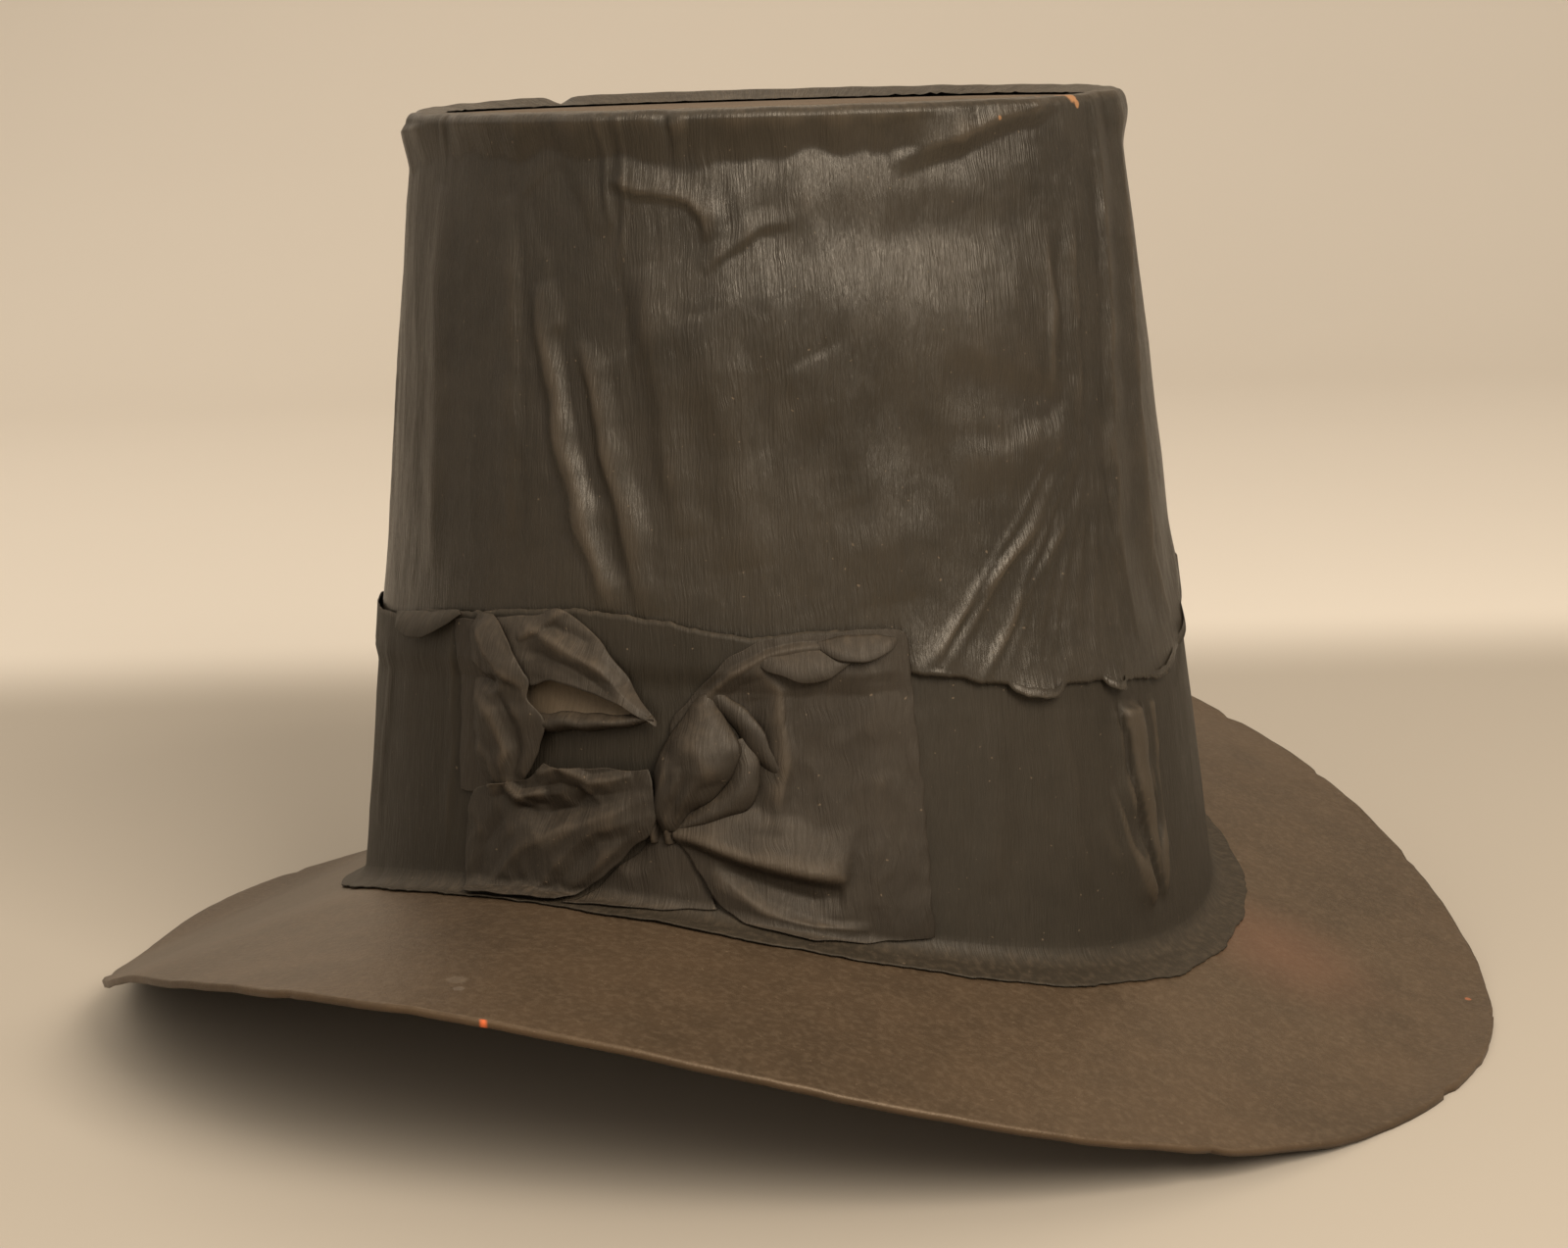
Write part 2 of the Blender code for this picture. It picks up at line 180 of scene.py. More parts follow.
def waves(kind, sizes, x, y, seed):
    """Noise of one kind. Its sizes are the rise in millimetres, and a wave's two lengths in metres."""
    rise, wide, high = sizes
    return rise * MM * kind(x / wide, y / high, seed)


def along_edge(angle, long, seed):
    """Soft waves along an edge, each this many degrees long."""
    return soft_noise(angle / long, 0 * angle, seed)


def swaying(angle, sways, seed):
    """How far an edge sways, in the sways' own unit. Each sway is a size and a length in degrees."""
    return sum(size * along_edge(angle, long, seed + k) for k, (size, long) in enumerate(sways))


def hump(angle, middle, wide):
    """1 at the middle angle, and falling off softly on each side of it."""
    return np.exp(-(((angle - middle) / wide) ** 2))


Fold = namedtuple("Fold", "wide rise lean fade line")
FOLD_WANDER, FOLD_WANDER_LONG, FOLD_TAPER = 0.8 * MM, 0.011, 0.22
# A fold is uneven along its line: over this length, by these shares of its width and its rise
UNEVEN_LONG, UNEVEN_WIDTH, UNEVEN_RISE = 9 * MM, 0.25, 0.2


def folded(folds, angle, height):
    """How far the folds lift the paper, in metres. A fold is a crest with a flank on each side, as in
    a tent. Its flanks' width and its rise are in millimetres, and its line is a list of places, each
    an angle and a height in millimetres. With lean above 0 the flank to the left of the line's way
    is the narrow, steep one. A fade of 1 ends the flanks in a crease, more lets them run out, and 0
    rounds the whole fold into a soft swell."""
    u, v = np.radians(angle) * MEAN_RADIUS, height + 0 * angle
    u, v = (
        u + FOLD_WANDER * soft_noise(u / FOLD_WANDER_LONG, v / FOLD_WANDER_LONG, 5),
        v + FOLD_WANDER * soft_noise(u / FOLD_WANDER_LONG, v / FOLD_WANDER_LONG, 6),
    )
    total = np.zeros(u.shape)
    for number, fold in enumerate(folds):
        places = [(np.radians(a) * MEAN_RADIUS, h * MM) for a, h in fold.line]
        lengths = [np.hypot(b[0] - a[0], b[1] - a[1]) for a, b in zip(places, places[1:])]
        nearest, side, run = np.full(total.shape, np.inf), np.zeros(total.shape), np.zeros(total.shape)
        before = 0.0
        for (start_u, start_v), (end_u, end_v), length in zip(places, places[1:], lengths):
            run_u, run_v = end_u - start_u, end_v - start_v
            share = ((u - start_u) * run_u + (v - start_v) * run_v) / length**2
            share = np.clip(share, 0, 1)
            off_u, off_v = u - start_u - share * run_u, v - start_v - share * run_v
            off = np.hypot(off_u, off_v)
            side = np.where(off < nearest, np.sign(run_u * off_v - run_v * off_u), side)
            run = np.where(off < nearest, before + share * length, run)
            nearest = np.minimum(nearest, off)
            before += length
        uneven = soft_noise(run / UNEVEN_LONG, 0 * run, 300 + number)
        reach = fold.wide * MM * (1 - fold.lean * side) * (1 + UNEVEN_WIDTH * uneven)
        ends = np.clip(np.minimum(run, before - run) / (FOLD_TAPER * before), 0, 1)
        tent = np.clip(1 - nearest / reach, 0, 1)
        tent = tent**fold.fade if fold.fade else tent * tent * (3 - 2 * tent)
        total += fold.rise * MM * tent * np.sqrt(ends) * (1 + UNEVEN_RISE * uneven)
    return total


# %% [markdown]
# A sheet of paper is a grid of points with a little thickness. The grid carries two things for the
# materials: a map in real metres, so that the crinkle has its true size everywhere, and a value that
# is high on the crests of folds and low in their hollows. The crepe papers use it for painted highlight
# on crests, partly also rubbing, and painted shade in hollows; the brim uses it for wear on its crests.


# %% From points to a sheet of paper
def grid_faces(rows, columns, closed):
    """Corners of each face as row and column numbers, and those of its place on the map."""
    across = columns if closed else columns - 1
    row, column = np.meshgrid(np.arange(rows - 1), np.arange(across), indexing="ij")
    row, column = row.ravel(), column.ravel()
    rings = np.stack([row, row, row + 1, row + 1], axis=1)
    steps = np.stack([column, column + 1, column + 1, column], axis=1)
    return rings, steps


CREST_SHIFTS, CREST_RISE = (-7, -3, 3, 7), 1.4 * MM


def crests(relief):
    """High on crests and low in hollows: the relief less the mean of it a few points away."""
    moved = [np.roll(relief, shift, axis) for axis in (0, 1) for shift in CREST_SHIFTS]
    return np.clip(0.5 + (relief - sum(moved) / len(moved)) / CREST_RISE, 0, 1)


def make_sheet(name, points, relief, paper_map, closed, thickness, outward=True):
    """A mesh object from a grid of points. paper_map holds the grid's places on the map in metres,
    with one more column than the grid where the sheet closes round. A thickness of 0 leaves the
    sheet single, which is for a sheet whose back can't be seen."""
    rows, columns = points.shape[:2]
    rings, steps = grid_faces(rows, columns, closed)
    mesh = bpy.data.meshes.new(name)
    corners = rings * columns + steps % columns
    mesh.from_pydata(points.reshape(-1, 3).tolist(), [], corners.tolist())
    layer = mesh.uv_layers.new(name="paper")
    layer.data.foreach_set("uv", paper_map[rings, steps].ravel().astype(np.float32))
    crest = mesh.attributes.new("crest", "FLOAT", "POINT")
    crest.data.foreach_set("value", crests(relief).ravel().astype(np.float32))
    mesh.shade_smooth()
    made = bpy.data.objects.new(name, mesh)
    bpy.context.scene.collection.objects.link(made)
    if thickness:
        wall = made.modifiers.new("paper thickness", "SOLIDIFY")
        wall.thickness = thickness
        wall.offset = 1 if outward else -1
    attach(made, "root")
    print(f"{name}: {rows} by {columns} points")
    return made


# %% [markdown]
# The camera comes before the fine work, so that each piece can be judged from where the hat is looked
# at. It stands a little above the crown's top, looks slightly down and leans a degree or two, which
# is how the outline of a round brim and an oval top come out right together.

# %% Camera
CAMERA_PLACE = Vector((0.2927, -0.5625, CREST + 0.1687))
CAMERA_YAW, CAMERA_PITCH, CAMERA_ROLL = 2.0485, 0.1996, -0.0304
LENS = 63.1


def camera_turn(yaw, pitch, roll):
    """The turn of a camera that looks along yaw, down by pitch, and leans by roll."""
    ahead = Vector((np.cos(yaw) * np.cos(pitch), np.sin(yaw) * np.cos(pitch), -np.sin(pitch)))
    level = Vector((np.sin(yaw), -np.cos(yaw), 0))
    upward = level.cross(ahead)
    right = level * np.cos(roll) + upward * np.sin(roll)
    up = upward * np.cos(roll) - level * np.sin(roll)
    return Matrix((right, up, -ahead)).transposed()


camera = bpy.data.objects.new("camera", bpy.data.cameras.new("camera"))
camera.data.lens = LENS
camera.matrix_world = Matrix.Translation(CAMERA_PLACE) @ camera_turn(
    CAMERA_YAW, CAMERA_PITCH, CAMERA_ROLL
).to_4x4()
bpy.context.scene.collection.objects.link(camera)
bpy.context.scene.camera = camera
print("camera at", [round(value, 3) for value in CAMERA_PLACE])

# %% [markdown]
# The brim is one round card, bent down in front and behind. Its edge is cut by hand and worn, so it
# wanders by a fraction of a millimetre and has a few nicks. Its face has soft waves, and near the
# edge at the right a second ply shows as a faint step. A flat disc with a bend modifier would give
# the arch but not the pressed ends, so the height comes from a formula, ring by ring.

# %% Brim
BRIM_COLUMNS, BRIM_RINGS = 480, 44
Nick = namedtuple("Nick", "angle wide deep")
BRIM_NICKS = [
    Nick(66, 0.8, 1.6),
    Nick(54, 0.6, 1.2),
    Nick(171, 0.9, 1.4),
    Nick(40, 0.5, 1.0),
    Nick(-34, 0.5, 0.8),
    Nick(-8, 0.6, 1.0),
    Nick(-100, 0.5, 0.7),
    Nick(12, 0.4, 0.9),
]
PLY_INSET, PLY_STEP, PLY_SOFTNESS = 5.5, 0.25, 0.3
PLY_ANGLE, PLY_WIDE = 5, 32
# The cut edge's sways, in millimetres, and the waves of the card's face
EDGE_SWAYS = [(0.45, 7), (0.2, 1.7)]
FACE_BROAD, FACE_SMALL = (0.35, 0.05, 0.05), (0.10, 0.013, 0.013)
# The worn edge waves up and down: how much, over how many degrees, and how far in
EDGE_RISE, EDGE_RISE_LONG, EDGE_RISE_REACH = 0.5 * MM, 5, 2 * MM
RINGS_CROWD = 1.15
# The face is smooth up to the first height, where it rests on the table, and wavy over the second
REST_HIGH, REST_BLEND = 2.5 * MM, 6 * MM


def make_brim():
    angle = np.linspace(-180, 180, BRIM_COLUMNS, endpoint=False)
    edge_x, edge_y = brim_edge(angle)
    wander = swaying(angle, EDGE_SWAYS, 3)
    for nick in BRIM_NICKS:
        wander = wander - nick.deep * hump(angle, nick.angle, nick.wide)
    length = np.hypot(edge_x, edge_y)
    edge_x, edge_y = edge_x * (1 + wander * MM / length), edge_y * (1 + wander * MM / length)
    inner = on_crown(angle, 0.0, -BRIM_TUCK)
    share = np.linspace(0, 1, BRIM_RINGS)[:, None] ** RINGS_CROWD
    x = edge_x + (inner[:, 0] - edge_x) * share
    y = edge_y + (inner[:, 1] - edge_y) * share
    from_edge = share * np.hypot(edge_x - inner[:, 0], edge_y - inner[:, 1])
    relief = waves(soft_noise, FACE_BROAD, x, y, 11)
    relief += waves(soft_noise, FACE_SMALL, x, y, 12)
    ply = hump(angle, PLY_ANGLE, PLY_WIDE)
    relief += PLY_STEP * MM * ply / (1 + np.exp((PLY_INSET * MM - from_edge) / (PLY_SOFTNESS * MM)))
    relief += EDGE_RISE * np.exp(-from_edge / EDGE_RISE_REACH) * along_edge(angle, EDGE_RISE_LONG, 13)
    relief = relief * np.clip((brim_top(x, y) - REST_HIGH) / REST_BLEND, 0, 1)
    points = np.stack([x, y, brim_top(x, y) + relief], axis=-1)
    wide = np.concatenate([points[..., :2], points[:, :1, :2]], axis=1)
    return make_sheet("brim_card", points, relief, wide, True, BRIM_CARD, outward=False)


brim = make_brim()
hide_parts("brim")

# %% [markdown]
# Cover and band meet along a ragged seam. On the left and round the back the band lies over the
# cover, and on the right the cover hangs over the band. Both edges are drawn as heights above the
# brim's crest at a few angles, read off the real hat, and torn a little by noise.

# %% The seam between cover and band
PAPER = 0.3 * MM
PAPER_STANDS = 0.6 * MM
LAYER = 0.8 * MM

# Heights in millimetres above the crest, by angle
BAND_TOP = {
    -180: 49, -160: 49.5, -137: 51.2, -127: 53.0, -117.6: 56.2, -108.5: 57.6, -99.6: 59.6, -90.3: 60.7,
    -83.4: 60.1, -76.9: 58.5, -70.7: 56.6, -67: 55.8, -59.7: 56.9, -51.1: 56.6, -47.4: 54.8, -46.6: 50,
    -40: 50, -16: 44, 4: 43, 9: 50, 14: 57.5, 20: 56, 40: 54, 90: 55, 140: 53,
}  # fmt: skip
COVER_HEM = {
    -180: 40, -137: 43, -108: 49, -90: 52, -60: 49, -49: 49, -47.3: 47.2, -43.1: 46.6, -38.4: 44.2,
    -34.3: 42.8, -29.9: 41.8, -27.4: 41.1, -21.6: 40.2, -17.6: 39.5, -9.9: 37.6, -3.9: 36.2, 2: 38.2,
    7.5: 41.5, 10: 44, 13: 51, 17: 53, 22: 48, 40: 46, 90: 48, 140: 45,
}  # fmt: skip
# How far the cover stands out over the band, 1 for wholly over it, and the same for the band
COVER_OVER = {-180: 0, -49: 0, -46.5: 1, 9: 1, 16: 0.6, 22: 0, 180: 0}
BAND_OVER = {-180: 1, -50: 1, -46.8: 0, 14: 0, 24: 1, 180: 1}


def by_angle(table, angle):
    """The table's value at these angles, right round the hat."""
    return np.interp(angle, list(table), list(table.values()), period=360)


TORN_SWAYS = [(0.45, 4), (0.3, 1.1)]


def torn(angle, seed):
    """How far a torn edge wanders, in metres."""
    return swaying(angle, TORN_SWAYS, seed) * MM


def band_top(angle):
    return by_angle(BAND_TOP, angle) * MM + torn(angle, 21)


def cover_hem(angle):
    return by_angle(COVER_HEM, angle) * MM + torn(angle, 31)


print("seam heights drawn at", len(BAND_TOP) + len(COVER_HEM), "places")

# %% [markdown]
# The cover was a tube of crepe paper pulled over the card crown, folded in over its top and pasted.
# It has a slumped roll under the rim, long folds at the left, a hard crease down the right corner and
# a fan of small pleats above the hem. The columns of its grid stand close together in front, where
# the folds are sharp, and wider apart behind.

# %% Folds of the cover
COVER_FOLDS = [
    # The slack roll under the rim: its crest is near the rim and its long flank faces down
    Fold(6.0, 3.0, 0.4, 1.0, [(-124, 160.5), (-108, 161), (-96, 161), (-86, 160.5), (-75, 158)]),
    Fold(7.4, 4.2, 0.4, 1.0, [(-78, 158.5), (-72, 160.5), (-62, 161.5), (-50, 162), (-32, 162.5)]),
    Fold(5.0, 2.0, -0.3, 1.0, [(-46, 149.5), (-36, 153.5), (-27, 157.5), (-12, 161.5)]),
    Fold(6.5, 2.6, 0.3, 1.1, [(-165, 154), (-146, 156.5), (-136, 157.5), (-122, 160)]),
    # The taut, shiny front below it, and the hooked crease at its edge
    Fold(11.0, 1.0, 0.0, 0, [(-80, 141), (-66, 144), (-50, 145), (-34, 144), (-18, 147)]),
    Fold(28.0, 2.0, 0.1, 0, [(-84, 118), (-68, 121), (-52, 120), (-36, 116), (-18, 118)]),
    Fold(3.4, 1.0, -0.6, 1.2, [(-87, 147), (-80, 144.6), (-75, 142.5), (-73, 139.5), (-72.4, 135)]),
    Fold(3.0, 0.5, -0.5, 0, [(-73, 129), (-70, 133), (-65, 137), (-60, 138)]),
    Fold(12.0, 0.9, 0.0, 0, [(-58, 112), (-50, 84), (-48, 62)]),
    Fold(9.0, 0.8, 0.0, 0, [(-74, 120), (-70, 96), (-68, 70)]),
    # Long soft folds at the left, and the hollows beside them
    Fold(5.2, 1.6, -0.3, 0, [(-99, 126), (-96.4, 110), (-94.6, 98), (-92, 86), (-89, 73), (-86, 60)]),
    Fold(3.6, -0.9, 0.0, 0, [(-95, 118), (-92.6, 104), (-90.4, 92), (-88, 80), (-85, 66)]),
    Fold(4.2, 1.2, -0.4, 0, [(-91, 116), (-88.6, 101), (-86, 87), (-83.4, 74), (-81, 60)]),
    Fold(5.0, 0.9, 0.3, 0, [(-105, 144), (-103, 112), (-102, 74)]),
    Fold(6.0, 0.8, -0.3, 0, [(-82, 130), (-79, 104), (-76, 76)]),
    Fold(7.0, 1.0, 0.2, 0, [(-122, 146), (-120, 104), (-119, 64)]),
    Fold(9.0, -0.9, 0.0, 0, [(-99, 148), (-92, 132), (-86, 112)]),
    # Fine straight creases from the rim
    Fold(1.4, 0.50, 0.0, 1.0, [(-88.3, 162), (-87.8, 152), (-87.2, 138)]),
    Fold(1.4, 0.44, 0.0, 1.0, [(-85.2, 162), (-84.8, 152), (-84.6, 142), (-86.0, 128)]),
    Fold(1.4, 0.22, 0.0, 1.0, [(-31.5, 161), (-31.0, 151)]),
    # A dent and the raised patch below it
    Fold(8.0, -0.9, 0.2, 0, [(-40, 107), (-30, 103), (-19, 97)]),
    Fold(7.5, 0.7, 0.2, 0, [(-40, 89), (-29, 89), (-17, 93)]),
    # The right corner: a crest, a dark groove behind it, and a second crest
    Fold(6.5, 1.2, -0.5, 1.2, [(-1.5, 162), (-3.2, 140), (-5.4, 119), (-8.4, 88), (-9.4, 65), (-7.4, 44)]),
    Fold(5.0, 1.6, 0.3, 1.2, [(9.5, 162), (7, 140), (4.2, 119), (1.4, 88), (0.6, 65), (4.5, 47)]),
    Fold(8.0, 1.8, 0.0, 0, [(4, 157), (16, 157.5), (30, 158)]),
    Fold(4.0, 0.8, 0.3, 0, [(-13, 140), (-15, 112), (-16, 90)]),
    Fold(3.0, 0.6, -0.3, 0, [(-19, 136), (-20, 118), (-22, 100)]),
    # Plain folds behind
    Fold(6.0, 1.5, 0.3, 1.3, [(100, 60), (96, 100), (92, 138)]),
    Fold(5.0, 1.4, -0.3, 1.3, [(160, 62), (164, 95), (166, 130)]),
    Fold(4.4, 1.2, 0.3, 1.3, [(52, 66), (50, 100), (48, 138)]),
    Fold(5.0, 1.6, 0.5, 1.0, [(34, 158), (52, 160), (76, 159)]),
    Fold(4.6, 1.5, 0.5, 1.0, [(98, 158), (124, 160.5), (150, 159)]),
    Fold(4.6, 1.3, 0.4, 1.0, [(172, 159), (190, 160), (206, 158)]),
    Fold(3.4, 0.9, -0.4, 1.3, [(124, 66), (127, 84), (126, 104)]),
    Fold(3.6, 1.0, 0.4, 1.3, [(192, 70), (190, 98), (193, 124)]),
]

# The fan of small pleats above the hem spreads from a point near the right corner
PLEATS, PLEAT_HEAD, PLEAT_FOOT = 16, (-21, -12), (-50, -10)
chance = np.random.default_rng(7)
for number in range(PLEATS):
    share = number / (PLEATS - 1)
    head = PLEAT_HEAD[0] + (PLEAT_HEAD[1] - PLEAT_HEAD[0]) * share
    foot = PLEAT_FOOT[0] + (PLEAT_FOOT[1] - PLEAT_FOOT[0]) * share + chance.uniform(-0.8, 0.8)
    wide, rise = chance.uniform(1.1, 2.0), chance.uniform(0.15, 0.42)
    top, low = chance.uniform(76, 94), chance.uniform(40, 48)
    bend = (head * 0.45 + foot * 0.55, top * 0.45 + low * 0.55 + 2)
    COVER_FOLDS.append(Fold(wide, rise, 0.4, 1.2, [(head, top), bend, (foot, low)]))

# Small tongues of the hem that curl outward: the middle's angle, half the width in degrees, how far
# the tongue drops and how far its edge curls out, in millimetres
Tongue = namedtuple("Tongue", "angle wide drop curl")
HEM_TONGUES = [
    Tongue(-29.2, 4.6, 2.6, 2.0),
    Tongue(-15.0, 2.4, 1.8, 2.0),
    Tongue(-1.0, 5.0, 0.4, 0.9),
    Tongue(9.0, 3.0, 0.4, 1.0),
    Tongue(-44.0, 2.5, 0.3, 0.6),
]

print(len(COVER_FOLDS), "folds in the cover")

# %% [markdown]
# With its folds drawn, the cover is one closed sheet. It starts inside the hem, goes up the crown and
# round the rim, and ends turned in over the lid. Its back is never seen, so the sheet stays single,
# which leaves more faces for the fine folds in front. Near the hem the folds die away and small
# tongues of paper curl out. Behind, the rim stands up past the lid and has one gap.

# %% Cover
FRONT_STEP, BACK_STEP = 0.36, 1.3
FRONT = np.arange(-142, 22, FRONT_STEP)
BACK = np.arange(22, 218, BACK_STEP)
ANGLES = np.concatenate([FRONT, BACK])
COVER_ROWS, RIM_ROWS, TURNED_ROWS = 130, 7, 7
RIM_RADIUS = 1.6 * MM
TURNED_IN = 6 * MM
HEM_INSIDE = 2 * MM
# How far the rim's paper stands up past the lid, in millimetres by angle
RIM_STANDS = {-180: 1.6, -150: 0.6, -120: 0, -15: 0, 10: 0.8, 40: 1.8, 90: 2.4, 130: 2.6, 165: 2.2}
RIM_GAP = Nick(156, 2, 2.0)
RIM_SWAY, RIM_SWAY_LONG = 0.25 * MM, 6
# Over this height above the hem the folds die away
HEM_FADE = 14 * MM
# Where the cover hangs over the band it stands off by more layers near the hem
HEM_LAYERS, HEM_LAYERS_REACH = 1.6, 9 * MM
CURL_REACH = 1.3 * MM
TURNED_SWAYS = [(1.2, 15), (0.8, 3)]
TURNED_LIFT, TURNED_CRUMPLE, CRUMPLE_LONG = 0.5 * MM, 0.2 * MM, 2.5
# Stretches of the turned-in edge that stand up in flakes
Stretch = namedtuple("Stretch", "angle wide share")
FLAKING = [Stretch(84, 9, 1), Stretch(62, 4, 0.6)]
FLAKE_RISE, FLAKE_LONG = 1.6 * MM, 1.6

# The crumple's waves: the rise in millimetres, then a wave's width and height in metres
LONG_WAVES, LEANING_CREASES = (0.60, 0.034, 0.05), (0.22, 0.013, 0.042)
SMALL_CREASES, FINE_WAVES = (0.09, 0.006, 0.020), (0.035, 0.0025, 0.012)
CRUMPLE_LEAN = 0.15


def paper_crumple(angle, height, seed):
    """The general crumple of crepe paper, in metres: mostly upright, as its crinkle runs."""
    u, v = np.radians(angle) * MEAN_RADIUS, height
    lean_u = u + CRUMPLE_LEAN * v
    relief = waves(soft_noise, LONG_WAVES, lean_u, v, seed)
    relief += waves(creased_noise, LEANING_CREASES, lean_u, v, seed + 1)
    relief += waves(creased_noise, SMALL_CREASES, u, v, seed + 2)
    relief += waves(soft_noise, FINE_WAVES, u, v, seed + 3)
    return relief


def paper_map(angle, height):
    """Places on the paper in metres, with one more column to close the sheet."""
    u = np.radians(np.concatenate([angle, angle[:, :1] + 360], axis=1)) * MEAN_RADIUS
    v = np.concatenate([height, height[:, :1]], axis=1)
    return np.stack([u, v], axis=-1)


def make_cover():
    drop, curl = np.zeros(ANGLES.shape), np.zeros(ANGLES.shape)
    for tongue in HEM_TONGUES:
        off = np.abs(ANGLES - tongue.angle) / tongue.wide
        drop = drop + tongue.drop * MM * np.sqrt(np.clip(1 - off * off, 0, 1))
        curl = curl + tongue.curl * MM * np.clip(1 - off * off, 0, 1)
    hem = cover_hem(ANGLES) - drop
    share = np.linspace(0, 1, COVER_ROWS)[:, None]
    height = hem + (LID_TOP - RIM_RADIUS - hem) * share
    angle = np.broadcast_to(ANGLES, height.shape)
    above_hem = height - hem
    relief = folded(COVER_FOLDS, angle, height) + paper_crumple(angle, height, 41)
    over = by_angle(COVER_OVER, angle)
    relief = relief * np.clip(over + above_hem / HEM_FADE, 0, 1)
    stands = PAPER_STANDS + LAYER * over * np.exp(-((above_hem / HEM_LAYERS_REACH) ** 2)) * HEM_LAYERS
    stands = stands + curl * np.exp(-above_hem / CURL_REACH)
    out = np.maximum(stands + relief, PAPER)
    wall = on_crown(angle, height, out)

    turn = np.linspace(0, np.pi / 2, RIM_ROWS + 1)[1:, None]
    rim_out = out[-1] - RIM_RADIUS * (1 - np.cos(turn))
    rim_relief = RIM_SWAY * along_edge(ANGLES, RIM_SWAY_LONG, 51)
    gap = RIM_GAP.deep * hump(ANGLES, RIM_GAP.angle, RIM_GAP.wide)
    stands_up = (by_angle(RIM_STANDS, ANGLES) - gap) * MM
    rim_height = LID_TOP - RIM_RADIUS + (RIM_RADIUS + PAPER + rim_relief + stands_up) * np.sin(turn)
    rim = on_crown(np.broadcast_to(ANGLES, rim_out.shape), rim_height, rim_out)

    inward = np.linspace(0, 1, TURNED_ROWS + 1)[1:, None]
    depth = TURNED_IN + swaying(ANGLES, TURNED_SWAYS, 52) * MM
    turned_out = rim_out[-1] - depth * inward
    loose = sum(place.share * hump(ANGLES, place.angle, place.wide) for place in FLAKING)
    flakes = loose * FLAKE_RISE * np.abs(along_edge(ANGLES, FLAKE_LONG, 54)) * inward**2
    crumple = TURNED_CRUMPLE * soft_noise(ANGLES / CRUMPLE_LONG, 3 * inward, 55) * inward
    down = (LID_TOP + TURNED_LIFT - rim_height[-1]) * inward
    turned_height = rim_height[-1] + down + crumple + flakes
    turned = on_crown(np.broadcast_to(ANGLES, turned_out.shape), turned_height, turned_out)

    # The hem's cut edge and a little of its inside, which give the single sheet its thickness there
    under = np.array([[HEM_INSIDE], [0.0]])
    edge = on_crown(np.broadcast_to(ANGLES, (2, len(ANGLES))), hem + under, out[0] - PAPER)
    points = np.concatenate([edge, wall, rim, turned])
    run = np.concatenate([hem - under, height, rim_height + 0 * rim_out, LID_TOP + depth * inward])
    angles = np.broadcast_to(ANGLES, run.shape)
    tail = np.repeat(relief[-1:], RIM_ROWS + TURNED_ROWS, axis=0)
    bumps = np.concatenate([relief[:1], relief[:1], relief, tail])
    return make_sheet("crepe_cover_paper", points, bumps, paper_map(angles, run), True, 0)


cover = make_cover()
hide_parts("crepe_cover")

# %% [markdown]
# The band is a folded strip of the same paper. It lies flat on the crown, turns in a small bend onto
# the brim and ends there in a narrow flange, so its rows follow first the brim, then the bend, then
# the wall. A pasted strip has few folds: two hard pleats at the right and curled lips on its upper
# edge.

# %% Band
BEND = 4 * MM
# How far the flange reaches out past the bend, in millimetres by angle
FLANGE = {-180: 3, -150: 2, -128: 1, -100: 1.5, -80: 3, -60: 4.5, -20: 5, 5: 3.5, 40: 3}
FLANGE_ROWS, BEND_ROWS, WALL_ROWS = 6, 8, 46
BAND_STANDS = 0.5 * MM
# How far the band's paper stays above the brim, and where its wall starts above the bend
BRIM_CLEAR, WALL_STARTS = 0.35 * MM, 0.4 * MM
FLANGE_SWAY, FLANGE_SWAY_LONG = 1.0 * MM, 9
RUFFLE, RUFFLE_LONG = 0.35 * MM, 4
# The bend follows the brim's slant by half
BEND_SLANT = 0.5
# The band's crumple next to the cover's, and how quickly it and the folds set in above the foot
BAND_CRUMPLE, FOOT_QUICK = 0.6, 6
# Under the cover, above this share of its height, the band is flatter by this share
COVERED_FROM, COVERED_FLATTER = 0.8, 0.9
# The closest that the band comes to the card, in thicknesses of paper
CLOSEST = 0.6
# The band comes out over the cover from this far below the hem, and over this height
OVER_BELOW, OVER_BLEND = 5 * MM, 4 * MM
# The share of the flange and bend that the map spreads over
MAP_REACH = 0.9

BAND_FOLDS = [
    # Two hard grooves in a swell, which meet in a pinch at the foot
    Fold(8.0, 2.4, 0.0, 0, [(-12.6, 46), (-11.4, 20), (-9.6, -12)]),
    Fold(1.3, -2.2, 0.0, 1.0, [(-14.6, 46), (-13.6, 22), (-12.0, 4), (-9.4, -13)]),
    Fold(1.3, -2.2, 0.0, 1.0, [(-8.6, 46), (-9.0, 22), (-9.2, 6), (-8.8, -13)]),
    Fold(1.8, 1.0, 0.4, 1.0, [(-5.2, 44), (-6.0, 20), (-7.4, 0), (-8.2, -12)]),
    Fold(1.6, 1.2, 0.0, 1.0, [(-17.0, 16), (-14.6, 2), (-10.6, -11)]),
    Fold(4.0, 0.5, 0.0, 0, [(-20.0, 10), (-15.0, -2), (-11.0, -12)]),
    Fold(4.0, 0.5, 0.0, 0, [(-131, 47), (-133, 20), (-134, 2)]),
    Fold(2.6, 0.6, 0.4, 1.3, [(-112.5, 55), (-112.0, 30), (-112, 4)]),
    Fold(5.0, 0.4, 0.0, 0, [(-36, 36), (-36, 16), (-38, 0)]),
    Fold(4.0, 0.35, 0.3, 0, [(-25, 36), (-24, 12), (-23, -4)]),
    Fold(3.2, 0.9, 0.4, 1.3, [(60, 48), (61, 20), (60, 2)]),
    Fold(3.0, 1.0, -0.4, 1.3, [(150, 48), (151, 16), (149, -8)]),
    Fold(3.0, 0.8, 0.4, 1.3, [(196, 46), (197, 16), (196, -6)]),
]


